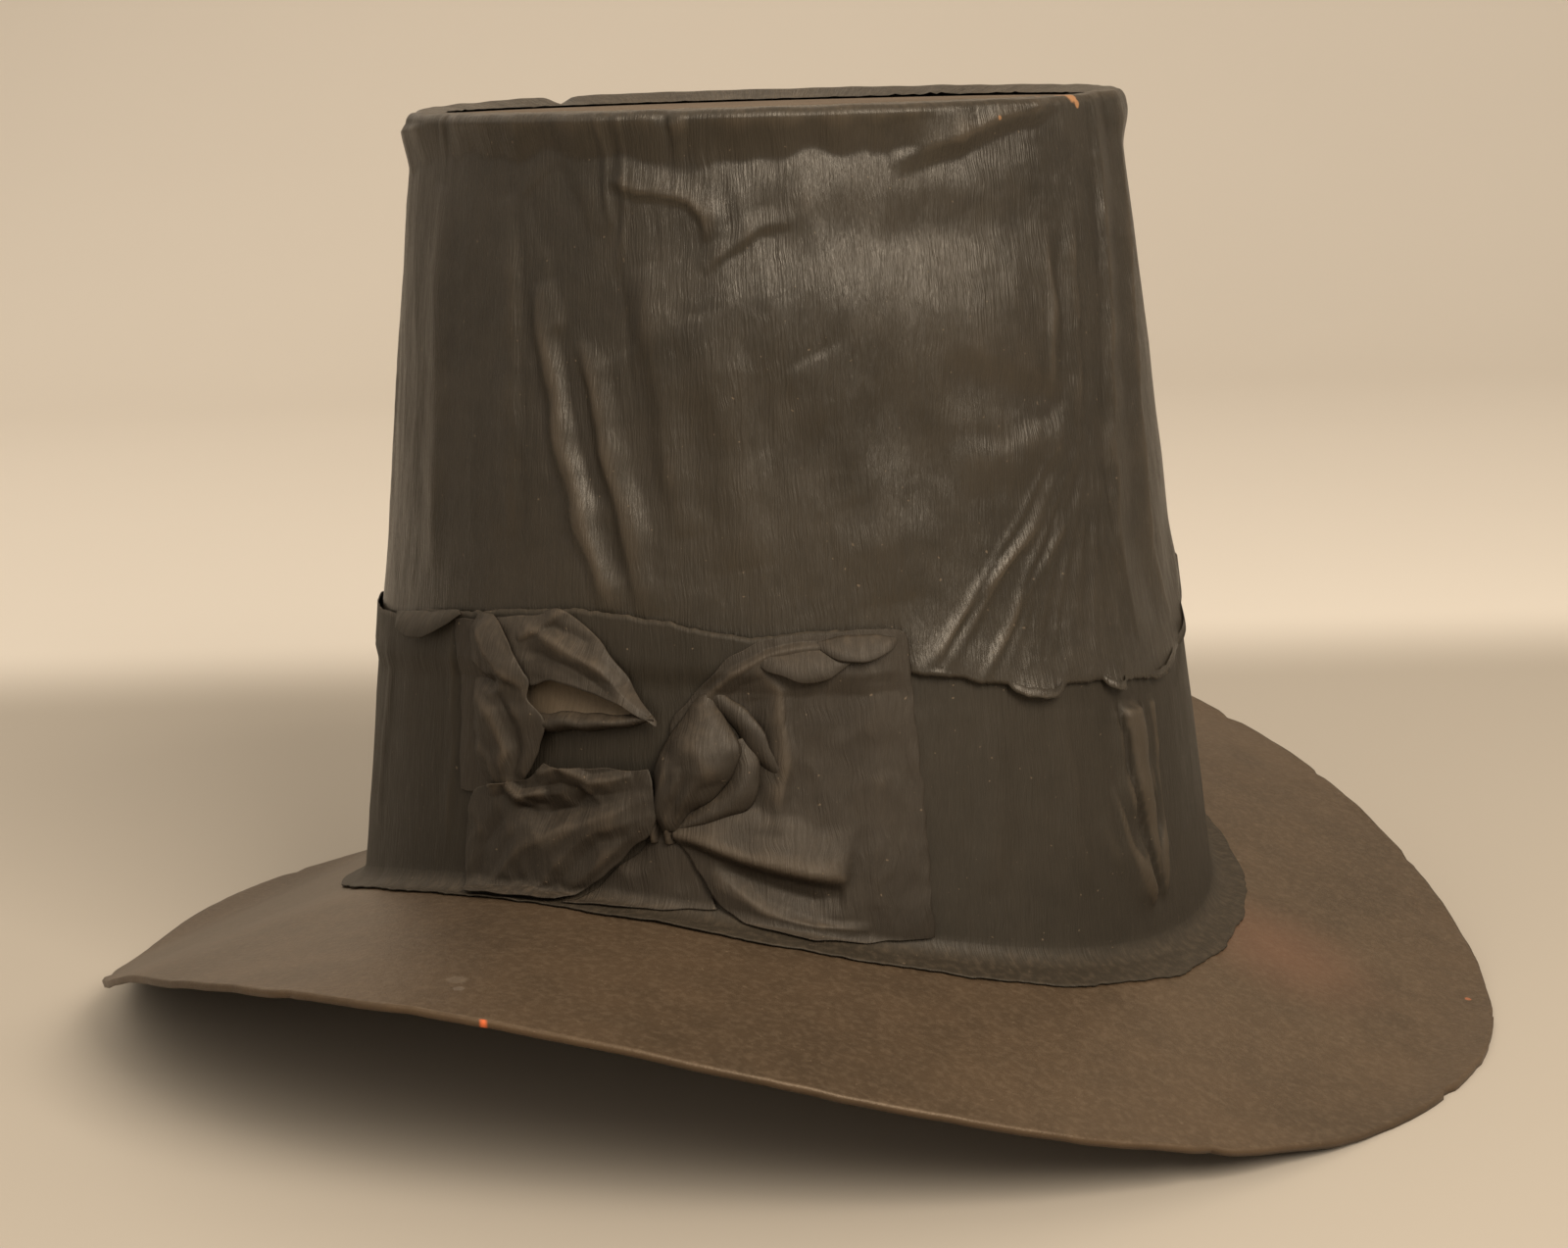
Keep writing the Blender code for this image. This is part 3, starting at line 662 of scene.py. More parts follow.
def band_out(angle, height):
    """How far out the band's outer face lies at these heights on the wall, without its folds."""
    above = by_angle(BAND_OVER, angle) * np.clip((height - cover_hem(angle) + OVER_BELOW) / OVER_BLEND, 0, 1)
    return BAND_STANDS + (LAYER + PAPER) * above


def make_band():
    flange_wide = by_angle(FLANGE, ANGLES) * MM
    reach = BEND + flange_wide + FLANGE_SWAY * along_edge(ANGLES, FLANGE_SWAY_LONG, 61) + torn(ANGLES, 62)
    share = np.linspace(0, 1, FLANGE_ROWS + 1)[:-1, None]
    out = BAND_STANDS + reach + (BEND - reach) * share
    angle = np.broadcast_to(ANGLES, out.shape)
    ruffle = RUFFLE * (1 - share) * np.abs(along_edge(ANGLES, RUFFLE_LONG, 63))
    flange = on_crown(angle, brim_height(angle, out) + BRIM_CLEAR + ruffle, out)

    around = np.linspace(np.pi / 2, 0, BEND_ROWS + 1)[:-1, None]
    seat = brim_height(ANGLES, BAND_STANDS + BEND + 0 * ANGLES) + BRIM_CLEAR
    out = BAND_STANDS + BEND * (1 - np.cos(around)) + 0 * ANGLES
    height = seat + BEND * (1 - np.sin(around))
    inside = brim_height(ANGLES, BAND_STANDS + 0 * ANGLES) + BRIM_CLEAR
    slant = BEND_SLANT * (inside - seat) * np.cos(around)
    bend = on_crown(np.broadcast_to(ANGLES, out.shape), height + slant, out)

    start = (height + slant)[-1] + WALL_STARTS
    share = np.linspace(0, 1, WALL_ROWS)[:, None]
    wall_height = start + (band_top(ANGLES) - start) * share
    angle = np.broadcast_to(ANGLES, wall_height.shape)
    relief = folded(BAND_FOLDS, angle, wall_height) + BAND_CRUMPLE * paper_crumple(angle, wall_height, 71)
    covered = by_angle(COVER_OVER, angle) * (share > COVERED_FROM)
    relief = relief * np.clip(share * FOOT_QUICK, 0, 1) * (1 - COVERED_FLATTER * covered)
    out = np.maximum(band_out(angle, wall_height) + relief, PAPER * CLOSEST)
    wall = on_crown(angle, wall_height, out)

    points = np.concatenate([flange, bend, wall])
    below = start - reach * (1 - np.linspace(0, 1, FLANGE_ROWS + BEND_ROWS)[:, None] * MAP_REACH)
    run = np.concatenate([below + 0 * ANGLES, wall_height])
    bumps = np.concatenate([np.zeros((FLANGE_ROWS + BEND_ROWS, len(ANGLES))), relief])
    angles = np.broadcast_to(ANGLES, run.shape)
    return make_sheet("crepe_band_paper", points, bumps, paper_map(angles, run), True, PAPER)


band = make_band()
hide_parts("hat_band")

# %% [markdown]
# The bow is one crushed strip of crepe, glued flat, so it reads as a heap of small sheets, each with
# its own outline, lying over one another. Simulating the crushing would give some heap, but not this
# one. Each sheet is drawn instead by ribs that run from one edge to the other: where the rib starts
# and ends on the hat, and how far the paper stands off there and in the middle. A smooth curve
# through the ribs makes the sheet, and folds and crumple go on top.

# %% From ribs to a bow sheet
Rib = namedtuple("Rib", "from_angle from_height to_angle to_height lift_from lift_middle lift_to")
PATCH_PAPER = 0.25 * MM
PATCH_STEP = 0.6 * MM
# How far round the bend a bow sheet goes before it lies on the brim, in radians, and its clearance there
PATCH_TURN, PATCH_CLEAR = 1.35, 0.8 * MM
# How much of a sheet's lift turns with the bend, stays upright in it and is left on the brim
LIFT_TURNS, LIFT_UPRIGHT, LIFT_ON_BRIM = 0.7, 0.7, 0.8
# A bow sheet's outline sways across, in degrees, and up, in metres, over this length in metres
SWAY_ACROSS, SWAY_UP, SWAY_LONG = 0.35, 0.45 * MM, 0.0045
# Dents and creases of the crushed paper: the rise, then the width and height in metres
DENTS, CREASES = (0.45, 0.010, 0.013), (0.16, 0.0042, 0.006)
LEAST_LIFT = 0.1 * MM


def through(ribs, places):
    """A smooth curve through the rows of a table, read at these places along it."""
    table = np.array(ribs, dtype=float)
    last = len(table) - 1
    k = np.clip(np.floor(places).astype(int), 0, last - 1)
    share = (places - k)[:, None]
    before, after = table[np.maximum(k - 1, 0)], table[np.minimum(k + 2, last)]
    start, end = table[k], table[k + 1]
    leave, arrive = (end - before) / 2, (after - start) / 2
    ease = share * share * (3 - 2 * share)
    bow = share * (1 - share) ** 2 * leave - share**2 * (1 - share) * arrive
    return start + (end - start) * ease + bow


def over_band(angle, height, lift):
    """Points that lie on the band, lift above it: on the wall, round its bend and out on the brim."""
    out_there = BAND_STANDS + BEND
    seat = brim_height(angle, out_there + 0 * angle) + BRIM_CLEAR
    turn = seat + BEND
    below = np.maximum(turn - height, 0)
    around = np.minimum(below / BEND, PATCH_TURN)
    beyond = np.maximum(below - PATCH_TURN * BEND, 0)
    out = np.where(height > turn, band_out(angle, height), BAND_STANDS + BEND * (1 - np.cos(around)))
    out = out + PAPER + lift * np.cos(around * LIFT_TURNS) + beyond
    bent = turn - BEND * np.sin(around) + LIFT_UPRIGHT * lift * np.sin(around)
    flat = brim_height(angle, out) + PATCH_CLEAR + LIFT_ON_BRIM * lift
    high = np.where(height > turn, height, np.where(beyond > 0, flat, np.maximum(bent, flat)))
    return on_crown(angle, high, out)


def make_patch(name, ribs, folds, crumple, seed, node=None):
    """A bow sheet through its ribs. Heights and lifts in the ribs are in millimetres."""
    ends = np.array(ribs)[:, :4]
    wide = np.hypot(np.radians(ends[:, 2] - ends[:, 0]) * MEAN_RADIUS, (ends[:, 3] - ends[:, 1]) * MM)
    middle = (ends[:, :2] + ends[:, 2:]) / 2
    step = np.diff(middle, axis=0)
    long = np.hypot(np.radians(step[:, 0]) * MEAN_RADIUS, step[:, 1] * MM).sum()
    rows, columns = int(long / PATCH_STEP) + 8, int(wide.max() / PATCH_STEP) + 6
    value = through(ribs, np.linspace(0, len(ribs) - 1, rows))[:, :, None]
    across = np.linspace(0, 1, columns)
    angle = value[:, 0] + (value[:, 2] - value[:, 0]) * across
    height = (value[:, 1] + (value[:, 3] - value[:, 1]) * across) * MM
    hump = value[:, 5] - (value[:, 4] + value[:, 6]) / 2
    lift = value[:, 4] + (value[:, 6] - value[:, 4]) * across + hump * 4 * across * (1 - across)
    u, v = np.radians(angle) * MEAN_RADIUS, height
    angle = angle + SWAY_ACROSS * soft_noise(u / SWAY_LONG, v / SWAY_LONG, seed)
    height = height + SWAY_UP * soft_noise(u / SWAY_LONG, v / SWAY_LONG, seed + 1)
    relief = folded(folds, angle, height)
    relief += crumple * waves(creased_noise, DENTS, u, v, seed + 2)
    relief += crumple * waves(creased_noise, CREASES, u, v, seed + 3)
    points = over_band(angle, height, np.maximum(lift * MM + relief, LEAST_LIFT))
    made = make_sheet(name, points, relief, np.stack([u, v], axis=-1), False, PATCH_PAPER)
    if node:
        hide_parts(node)
    return made


# %% [markdown]
# The left half of the bow: a backing strip flat on the band, the crushed round end of the loop, the
# strip that runs from it down to the knot, the open mouth under that strip with its pale inside and
# rolled lip, and the tail that fans out below.

# %% Left half of the bow
BACKING = [
    Rib(-109.2, 19.5, -100.0, 20.0, 0.3, 0.9, 1.0),
    Rib(-109.8, 29.0, -100.0, 29.0, 0.3, 1.1, 1.2),
    Rib(-110.0, 41.5, -100.0, 41.5, 0.3, 1.1, 1.2),
    Rib(-110.8, 50.0, -101.0, 51.0, 0.3, 0.9, 1.0),
    Rib(-111.1, 55.5, -102.0, 57.6, 0.2, 0.5, 0.5),
]
LOBE = [
    Rib(-103.6, 21.6, -98.6, 21.8, 0.8, 1.6, 1.2),
    Rib(-105.6, 26.5, -96.6, 26.0, 1.0, 3.0, 2.2),
    Rib(-106.5, 32.5, -94.8, 31.5, 1.0, 3.8, 3.0),
    Rib(-106.8, 38.0, -94.0, 37.4, 1.0, 4.4, 3.4),
    Rib(-106.8, 42.5, -96.2, 41.7, 1.0, 4.2, 3.8),
    Rib(-106.7, 46.6, -95.9, 46.2, 1.0, 4.6, 4.0),
    Rib(-107.2, 51.0, -98.4, 51.4, 0.8, 3.6, 3.4),
    Rib(-107.6, 54.8, -101.1, 55.8, 0.6, 2.2, 2.0),
    Rib(-106.4, 57.6, -103.4, 57.8, 0.4, 0.9, 0.7),
]
STRIP = [
    Rib(-103.0, 57.4, -101.2, 54.0, 0.5, 1.2, 1.6),
    Rib(-99.0, 58.2, -98.6, 49.8, 0.5, 2.2, 2.8),
    Rib(-95.6, 59.2, -96.0, 45.2, 0.5, 2.5, 3.8),
    Rib(-92.5, 60.4, -92.3, 46.2, 0.4, 2.6, 4.3),
    Rib(-87.2, 55.4, -87.0, 44.4, 0.6, 2.8, 4.4),
    Rib(-83.3, 47.9, -82.8, 42.2, 1.2, 3.0, 4.2),
    Rib(-78.9, 38.8, -79.0, 38.2, 2.6, 3.0, 3.2),
]
MOUTH_INSIDE = [
    Rib(-99.0, 45.6, -98.6, 36.0, 1.0, 1.0, 1.2),
    Rib(-95.6, 46.0, -95.0, 37.4, 1.6, 1.2, 1.8),
    Rib(-91.6, 47.0, -90.8, 38.0, 2.4, 1.4, 2.4),
    Rib(-86.0, 45.4, -85.9, 38.4, 2.8, 1.8, 2.8),
    Rib(-79.6, 40.3, -79.6, 38.9, 2.6, 2.6, 2.8),
]
MOUTH_LIP = [
    Rib(-96.0, 38.4, -96.0, 35.2, 1.4, 2.6, 1.6),
    Rib(-91.6, 39.4, -91.4, 35.8, 1.8, 4.4, 2.0),
    Rib(-86.8, 39.8, -86.5, 36.7, 2.0, 4.8, 2.2),
    Rib(-82.6, 40.0, -82.6, 37.7, 2.4, 4.2, 2.4),
    Rib(-79.4, 40.1, -79.4, 39.2, 2.8, 3.4, 2.8),
]
LEFT_TAIL = [
    Rib(-104.9, -4.6, -91.4, -2.6, 0.4, 0.8, 0.5),
    Rib(-106.8, -1.2, -90.0, -0.2, 0.5, 1.4, 1.0),
    Rib(-107.5, 4.2, -87.0, 4.6, 0.6, 2.0, 1.8),
    Rib(-107.3, 12.8, -82.2, 12.2, 0.7, 2.6, 3.0),
    Rib(-106.5, 19.6, -78.9, 18.3, 0.8, 3.0, 3.8),
    Rib(-102.9, 22.4, -78.8, 22.8, 1.2, 3.0, 3.8),
    Rib(-96.6, 25.0, -79.2, 26.6, 2.4, 3.0, 3.6),
    Rib(-94.2, 28.6, -79.9, 29.3, 2.6, 3.4, 3.4),
]
LOBE_FOLDS = [
    Fold(2.2, -1.8, 0.0, 1.0, [(-107.6, 46.0), (-104.6, 44.2), (-102.2, 44.0), (-100.6, 45.6)]),
    Fold(3.0, 1.2, -0.4, 1.1, [(-105.2, 56), (-102.6, 50.6), (-99.8, 47.6), (-96.4, 45.6)]),
    Fold(3.0, 1.1, 0.3, 1.1, [(-106.0, 41), (-102, 37.4), (-99.4, 31), (-100.2, 22.5)]),
    Fold(2.4, -1.1, 0.2, 1.0, [(-101.0, 43), (-98.8, 37), (-97.8, 30), (-98.6, 24)]),
    Fold(1.8, 0.7, 0.0, 1.1, [(-105.0, 30), (-102.2, 27), (-101.0, 22)]),
]
STRIP_FOLDS = [
    Fold(3.4, 1.3, 0.5, 1.1, [(-98.4, 57.6), (-92.0, 54.0), (-86.0, 49.2), (-79.6, 40.0)]),
    Fold(2.0, 0.9, 0.4, 1.0, [(-91.8, 61), (-94.6, 57.6), (-98.4, 54.2)]),
    Fold(3.4, -0.9, 0.0, 1.2, [(-97.0, 52.2), (-90.4, 49.4), (-83.4, 43.6)]),
    Fold(1.6, -0.6, 0.0, 1.0, [(-94.0, 57.4), (-90.6, 56.0), (-87.6, 54.0)]),
]
TAIL_FOLDS = [
    Fold(2.0, 1.6, 0.3, 1.0, [(-103.8, 21.6), (-100.2, 23.8), (-97.6, 21.2), (-93.4, 23.0)]),
    Fold(4.2, -2.4, 0.0, 1.1, [(-98.0, 19.2), (-93.6, 18.0), (-89.6, 19.6), (-87.6, 24.0)]),
    Fold(2.2, 1.4, 0.3, 1.0, [(-95.0, 27.0), (-91.2, 28.8), (-87.2, 26.0), (-82.0, 28.0)]),
    Fold(3.8, 0.9, 0.4, 1.2, [(-78.8, 20.6), (-86.4, 16.4), (-92.4, 7.0), (-96.4, -3.0)]),
    Fold(3.4, 0.7, -0.3, 1.2, [(-79.2, 24.0), (-88.2, 17.2), (-97.4, 10.4), (-102.6, -1.0)]),
    Fold(2.4, 0.8, 0.4, 1.0, [(-79.6, 19.0), (-84.6, 11.8), (-90.2, 2.6)]),
    Fold(3.0, -0.5, 0.0, 1.2, [(-100.0, 17.0), (-104.2, 8.6), (-105.4, -2.0)]),
    Fold(1.6, 0.8, 0.0, 1.0, [(-98.2, 22.6), (-96.4, 19.6), (-93.4, 17.4)]),
]
backing = make_patch("bow_backing", BACKING, [], 0.5, 101)
lobe = make_patch("bow_left_lobe", LOBE, LOBE_FOLDS, 0.9, 111, "bow_left_loop")
strip = make_patch("bow_left_strip", STRIP, STRIP_FOLDS, 0.5, 121)
mouth = make_patch("bow_mouth_inside", MOUTH_INSIDE, [], 0.4, 131)
lip = make_patch("bow_mouth_lip", MOUTH_LIP, [], 0.3, 141)
left_tail = make_patch("bow_left_tail_paper", LEFT_TAIL, TAIL_FOLDS, 1.0, 151, "bow_left_tail")

# %% [markdown]
# The right half: a broad panel pasted flat, whose lower left corner is pulled up to the knot in a
# long ridge over a dark hollow, the puffed loop with a second lip curling round it, a small pointed
# flap beside them, and the torn end of the strip that shows below the knot.

# %% Right half of the bow
PANEL = [
    Rib(-60.5, -7.8, -46.3, -6.8, 0.3, 0.7, 0.8),
    Rib(-66.2, -4.4, -46.2, -4.6, 0.6, 1.2, 1.1),
    Rib(-70.2, -0.4, -46.2, -0.4, 1.0, 1.6, 1.3),
    Rib(-72.9, 5.2, -46.3, 5.0, 1.4, 1.7, 1.3),
    Rib(-75.4, 12.0, -46.4, 12.0, 1.8, 1.8, 1.2),
    Rib(-77.2, 17.0, -46.5, 18.5, 1.8, 1.7, 1.2),
    Rib(-76.6, 24.5, -46.6, 25.0, 1.4, 1.5, 1.2),
    Rib(-76.8, 32.0, -46.8, 33.0, 1.0, 1.4, 1.2),
    Rib(-77.6, 37.6, -47.0, 39.5, 0.7, 1.4, 1.2),
    Rib(-75.6, 42.6, -47.2, 44.5, 0.9, 1.3, 1.1),
    Rib(-73.2, 46.6, -47.3, 48.5, 1.1, 1.2, 1.0),
    Rib(-70.2, 51.6, -47.3, 52.8, 1.1, 0.9, 0.9),
    Rib(-66.2, 54.9, -48.0, 56.0, 0.8, 0.7, 0.7),
    Rib(-62.0, 56.3, -51.0, 56.9, 0.6, 0.6, 0.6),
]
RIGHT_LOOP = [
    Rib(-77.9, 16.6, -76.6, 16.9, 2.6, 3.0, 2.6),
    Rib(-78.8, 20.6, -74.8, 20.9, 2.8, 4.6, 3.0),
    Rib(-79.0, 25.1, -71.8, 24.6, 3.0, 6.0, 3.2),
    Rib(-78.9, 30.1, -69.4, 29.4, 2.8, 6.6, 3.2),
    Rib(-78.2, 34.0, -68.8, 34.2, 2.2, 6.2, 3.0),
    Rib(-76.9, 37.4, -69.8, 38.4, 1.6, 5.0, 2.6),
    Rib(-75.2, 41.0, -71.4, 41.8, 1.2, 3.4, 1.8),
    Rib(-73.6, 44.2, -72.6, 44.6, 0.9, 1.6, 1.0),
]
SECOND_LIP = [
    Rib(-70.0, 35.2, -67.8, 36.2, 1.4, 2.4, 1.8),
    Rib(-69.9, 30.4, -66.4, 31.8, 1.6, 4.0, 2.4),
    Rib(-71.0, 26.6, -66.4, 27.0, 1.8, 4.6, 2.6),
    Rib(-73.0, 23.4, -67.6, 22.0, 2.0, 4.6, 2.6),
    Rib(-75.4, 20.2, -71.2, 19.0, 2.2, 4.2, 2.4),
    Rib(-77.0, 17.6, -75.6, 16.9, 2.4, 2.8, 2.2),
]
FLAP = [
    Rib(-73.4, 43.8, -71.8, 46.0, 0.9, 1.6, 1.0),
    Rib(-70.6, 39.6, -68.2, 42.0, 1.4, 2.8, 2.2),
    Rib(-68.8, 35.6, -65.6, 36.4, 1.6, 3.2, 2.8),
    Rib(-67.0, 31.6, -64.2, 30.6, 1.6, 2.8, 2.6),
    Rib(-64.6, 27.6, -63.6, 27.2, 1.6, 1.8, 1.8),
]
UNDER_FOLD = [
    Rib(-78.3, 16.8, -76.6, 16.4, 1.0, 1.6, 1.2),
    Rib(-82.6, 10.4, -74.6, 11.0, 0.6, 1.4, 1.0),
    Rib(-86.8, 4.0, -73.2, 6.0, 0.4, 1.1, 0.8),
    Rib(-90.6, -2.2, -71.8, 0.6, 0.3, 0.6, 0.4),
]
KNOT = [
    Rib(-79.7, 14.2, -76.4, 14.2, 0.8, 1.8, 0.8),
    Rib(-80.2, 17.6, -75.9, 17.6, 1.2, 2.8, 1.4),
    Rib(-79.8, 21.0, -76.6, 21.0, 1.8, 3.2, 2.0),
    Rib(-79.0, 24.4, -77.6, 24.4, 2.2, 2.8, 2.2),
]
PANEL_FOLDS = [
    # The ridge from the knot, and the hollow under its end
    Fold(6.0, 3.0, -0.6, 1.1, [(-77.4, 16.8), (-71.6, 14.0), (-66.6, 11.2), (-61.8, 8.6), (-56.4, 6.6)]),
    Fold(4.4, -1.6, 0.0, 1.1, [(-71.6, 9.8), (-64.8, 4.8), (-60.4, 2.6), (-57.0, 3.4)]),
    # The doubled upper left edge, and the soft upright fold beside the flap
    Fold(2.2, 1.0, 0.5, 1.0, [(-76.0, 38.6), (-72.8, 44.2), (-69.4, 49.6), (-65.0, 52.8), (-57.0, 54)]),
    Fold(4.4, 1.1, 0.6, 1.2, [(-66.6, 51.0), (-63.6, 45.0), (-63.0, 34.0), (-64.4, 16.0)]),
    Fold(4.0, -0.8, 0.0, 1.2, [(-66.8, 44.0), (-66.2, 30.0), (-67.2, 20.0)]),
    Fold(5.0, 0.5, 0.0, 0, [(-52.0, 46.0), (-52.4, 20.0), (-53.0, 0.0)]),
    Fold(3.2, 1.1, 0.4, 1.1, [(-72.4, 9.0), (-66.8, 0.8), (-60.4, -3.2), (-54.0, -4.6)]),
]
LOOP_FOLDS = [
    Fold(1.6, 1.0, 0.3, 1.0, [(-78.4, 16.6), (-78.6, 24.0), (-77.8, 33.0)]),
    Fold(1.5, 0.9, -0.3, 1.0, [(-77.5, 16.8), (-77.2, 24.0), (-75.8, 31.0)]),
    Fold(1.4, 0.7, 0.0, 1.0, [(-76.9, 17.6), (-75.6, 23.0), (-73.8, 28.0)]),
    Fold(5.0, 0.9, 0.0, 0, [(-76.0, 37.0), (-73.0, 33.0), (-72.4, 27.0)]),
]
KNOT_FOLDS = [
    Fold(1.4, 1.2, 0.0, 1.0, [(-79.2, 13.0), (-78.9, 25.0)]),
    Fold(1.3, 1.1, 0.0, 1.0, [(-77.2, 13.0), (-77.7, 25.0)]),
    Fold(1.2, -1.6, 0.0, 1.0, [(-78.2, 12.6), (-78.2, 21.0)]),
]
# Scraps of paper that curl out and down from the upper edges, two on the panel and one on the band
CURL = [
    Rib(-67.4, 52.4, -67.2, 51.2, 0.8, 1.0, 1.0),
    Rib(-64.8, 53.6, -64.6, 49.2, 0.9, 2.4, 2.8),
    Rib(-61.4, 53.8, -61.1, 47.2, 0.9, 3.0, 3.4),
    Rib(-57.8, 54.0, -57.7, 48.2, 0.9, 2.8, 3.0),
    Rib(-54.4, 53.8, -54.0, 51.6, 0.9, 1.6, 1.8),
]
SMALL_CURL = [
    Rib(-59.0, 55.0, -58.8, 53.6, 0.9, 1.2, 1.4),
    Rib(-56.8, 55.6, -56.5, 51.4, 0.9, 2.6, 3.0),
    Rib(-53.4, 55.6, -53.2, 50.8, 0.9, 2.6, 3.2),
    Rib(-50.6, 55.2, -50.4, 52.4, 0.9, 2.0, 2.4),
    Rib(-49.2, 54.8, -49.0, 54.0, 0.9, 1.0, 1.0),
]
BAND_CURL = [
    Rib(-128.0, 53.4, -127.8, 52.4, 0.3, 0.5, 0.5),
    Rib(-124.8, 54.0, -124.5, 50.6, 0.3, 1.8, 2.4),
    Rib(-120.4, 55.2, -120.2, 49.8, 0.3, 2.2, 3.0),
    Rib(-116.4, 56.0, -116.2, 51.2, 0.3, 2.0, 2.6),
    Rib(-112.8, 56.8, -112.4, 54.0, 0.3, 1.4, 1.8),
    Rib(-110.6, 57.4, -110.2, 56.6, 0.3, 0.5, 0.5),
]
under_fold = make_patch("bow_under_fold", UNDER_FOLD, [], 0.8, 161)
panel = make_patch("bow_right_panel", PANEL, PANEL_FOLDS, 0.45, 171, "bow_right_tail")
second_lip = make_patch("bow_second_lip", SECOND_LIP, [], 0.5, 181)
right_loop = make_patch("bow_right_loop_paper", RIGHT_LOOP, LOOP_FOLDS, 0.5, 191, "bow_right_loop")
flap = make_patch("bow_flap", FLAP, [], 0.4, 201)
curl = make_patch("bow_curl", CURL, [], 0.3, 221)
small_curl = make_patch("bow_small_curl", SMALL_CURL, [], 0.3, 231)
band_curl = make_patch("band_curl", BAND_CURL, [], 0.3, 241)
knot = make_patch("bow_knot_paper", KNOT, KNOT_FOLDS, 0.8, 211, "bow_knot")

# %% [markdown]
# Finishes are built from nodes. Two short helpers keep that readable: one adds a node and sets it up,
# the other mixes two colours. What several materials share becomes a node group: the crinkle of crepe
# paper, the way old paper fades and gathers dust, and a round dot of paint.


# %% Helpers for nodes
def connect(tree, value, socket):
    """Links an output to the socket, or sets the socket to a plain value."""
    if isinstance(value, bpy.types.NodeSocket):
        tree.links.new(value, socket)
    else:
        socket.default_value = value


def add_node(tree, kind, inputs=None, **settings):
    made = tree.nodes.new("ShaderNode" + kind)
    for key, value in settings.items():
        setattr(made, key, value)
    for key, value in (inputs or {}).items():
        connect(tree, value, made.inputs[key])
    return made


def sums(tree, how, one, other, third=None):
    """One number from others, such as MULTIPLY or ADD."""
    inputs = {0: one, 1: other} if third is None else {0: one, 1: other, 2: third}
    return add_node(tree, "Math", inputs, operation=how).outputs[0]


def mixed(tree, share, below, above, how="MIX"):
    """Two colours mixed, share of the second over the first."""
    made = add_node(tree, "Mix", data_type="RGBA", blend_type=how)
    for value, socket in ((share, 0), (below, 6), (above, 7)):
        connect(tree, value, made.inputs[socket])
    return made.outputs[2]


def ramp(tree, value, low, high):
    """0 where the value is at or below low, 1 at or above high, and smooth between."""
    inputs = {"Value": value, "From Min": low, "From Max": high}
    return add_node(tree, "MapRange", inputs, interpolation_type="SMOOTHSTEP").outputs[0]


def noise(tree, place, size, detail=3.0, roughness=0.5):
    """Noise whose patches are about this many metres across. size may be different for each way."""
    wide, high, deep = size if isinstance(size, tuple) else (size, size, size)
    scaled = add_node(tree, "Mapping", {"Vector": place, "Scale": (1 / wide, 1 / high, 1 / deep)})
    inputs = {"Vector": scaled.outputs[0], "Scale": 1.0, "Detail": detail, "Roughness": roughness}
    return add_node(tree, "TexNoise", inputs).outputs[0]


def new_group(name, takes, gives):
    """A shader node group with named sockets: takes and gives map a name to its socket's kind."""
    tree = bpy.data.node_groups.new(name, "ShaderNodeTree")
    for label, kind in takes.items():
        tree.interface.new_socket(label, in_out="INPUT", socket_type="NodeSocket" + kind)
    for label, kind in gives.items():
        tree.interface.new_socket(label, in_out="OUTPUT", socket_type="NodeSocket" + kind)
    start, end = tree.nodes.new("NodeGroupInput"), tree.nodes.new("NodeGroupOutput")
    return tree, start.outputs, end.inputs


def place_group(tree, group, inputs):
    made = tree.nodes.new("ShaderNodeGroup")
    made.node_tree = group
    for key, value in inputs.items():
        connect(tree, value, made.inputs[key])
    return made.outputs


# %% [markdown]
# Crepe crinkle is a mass of tiny upright ridges, about a third of a millimetre apart and several long.
# Modelled, it would take millions of faces. As stretched noise it costs nothing and still bends the
# light, which is what gives crepe paper its soft upright sheen.


# %% Node group: crepe crinkle
def crinkle_group():
    tree, takes, gives = new_group(
        "crepe crinkle", {"Place": "Vector"}, {"Height": "Float", "Streaks": "Float"}
    )
    place = takes["Place"]
    wander = noise(tree, place, 0.010, 2.0)
    bent = add_node(tree, "VectorMath", {0: (0.0022, 0.0, 0.0)}, operation="SCALE")
    connect(tree, wander, bent.inputs["Scale"])
    moved = add_node(tree, "VectorMath", {0: place, 1: bent.outputs[0]}, operation="ADD").outputs[0]
    fine = noise(tree, moved, (0.00042, 0.0065, 0.001), 3.0, 0.6)
    coarse = noise(tree, moved, (0.0013, 0.020, 0.001), 2.0)
    both = sums(tree, "MULTIPLY_ADD", coarse, 0.5, sums(tree, "MULTIPLY", fine, 0.8))
    connect(tree, both, gives["Height"])
    streak = noise(tree, moved, (0.0006, 0.0085, 0.001), 4.0, 0.7)
    connect(tree, ramp(tree, streak, 0.36, 0.66), gives["Streaks"])
    return tree


CRINKLE = crinkle_group()
print("node group:", CRINKLE.name)


# %% [markdown]
# Old paper isn't one colour: it fades in patches, dust settles where it faces up, and specks stick to
# it. A group gives these as three masks, and each material mixes its own colours by them. A painted
# picture could hold them too, but masks from noise keep their true size on every piece.

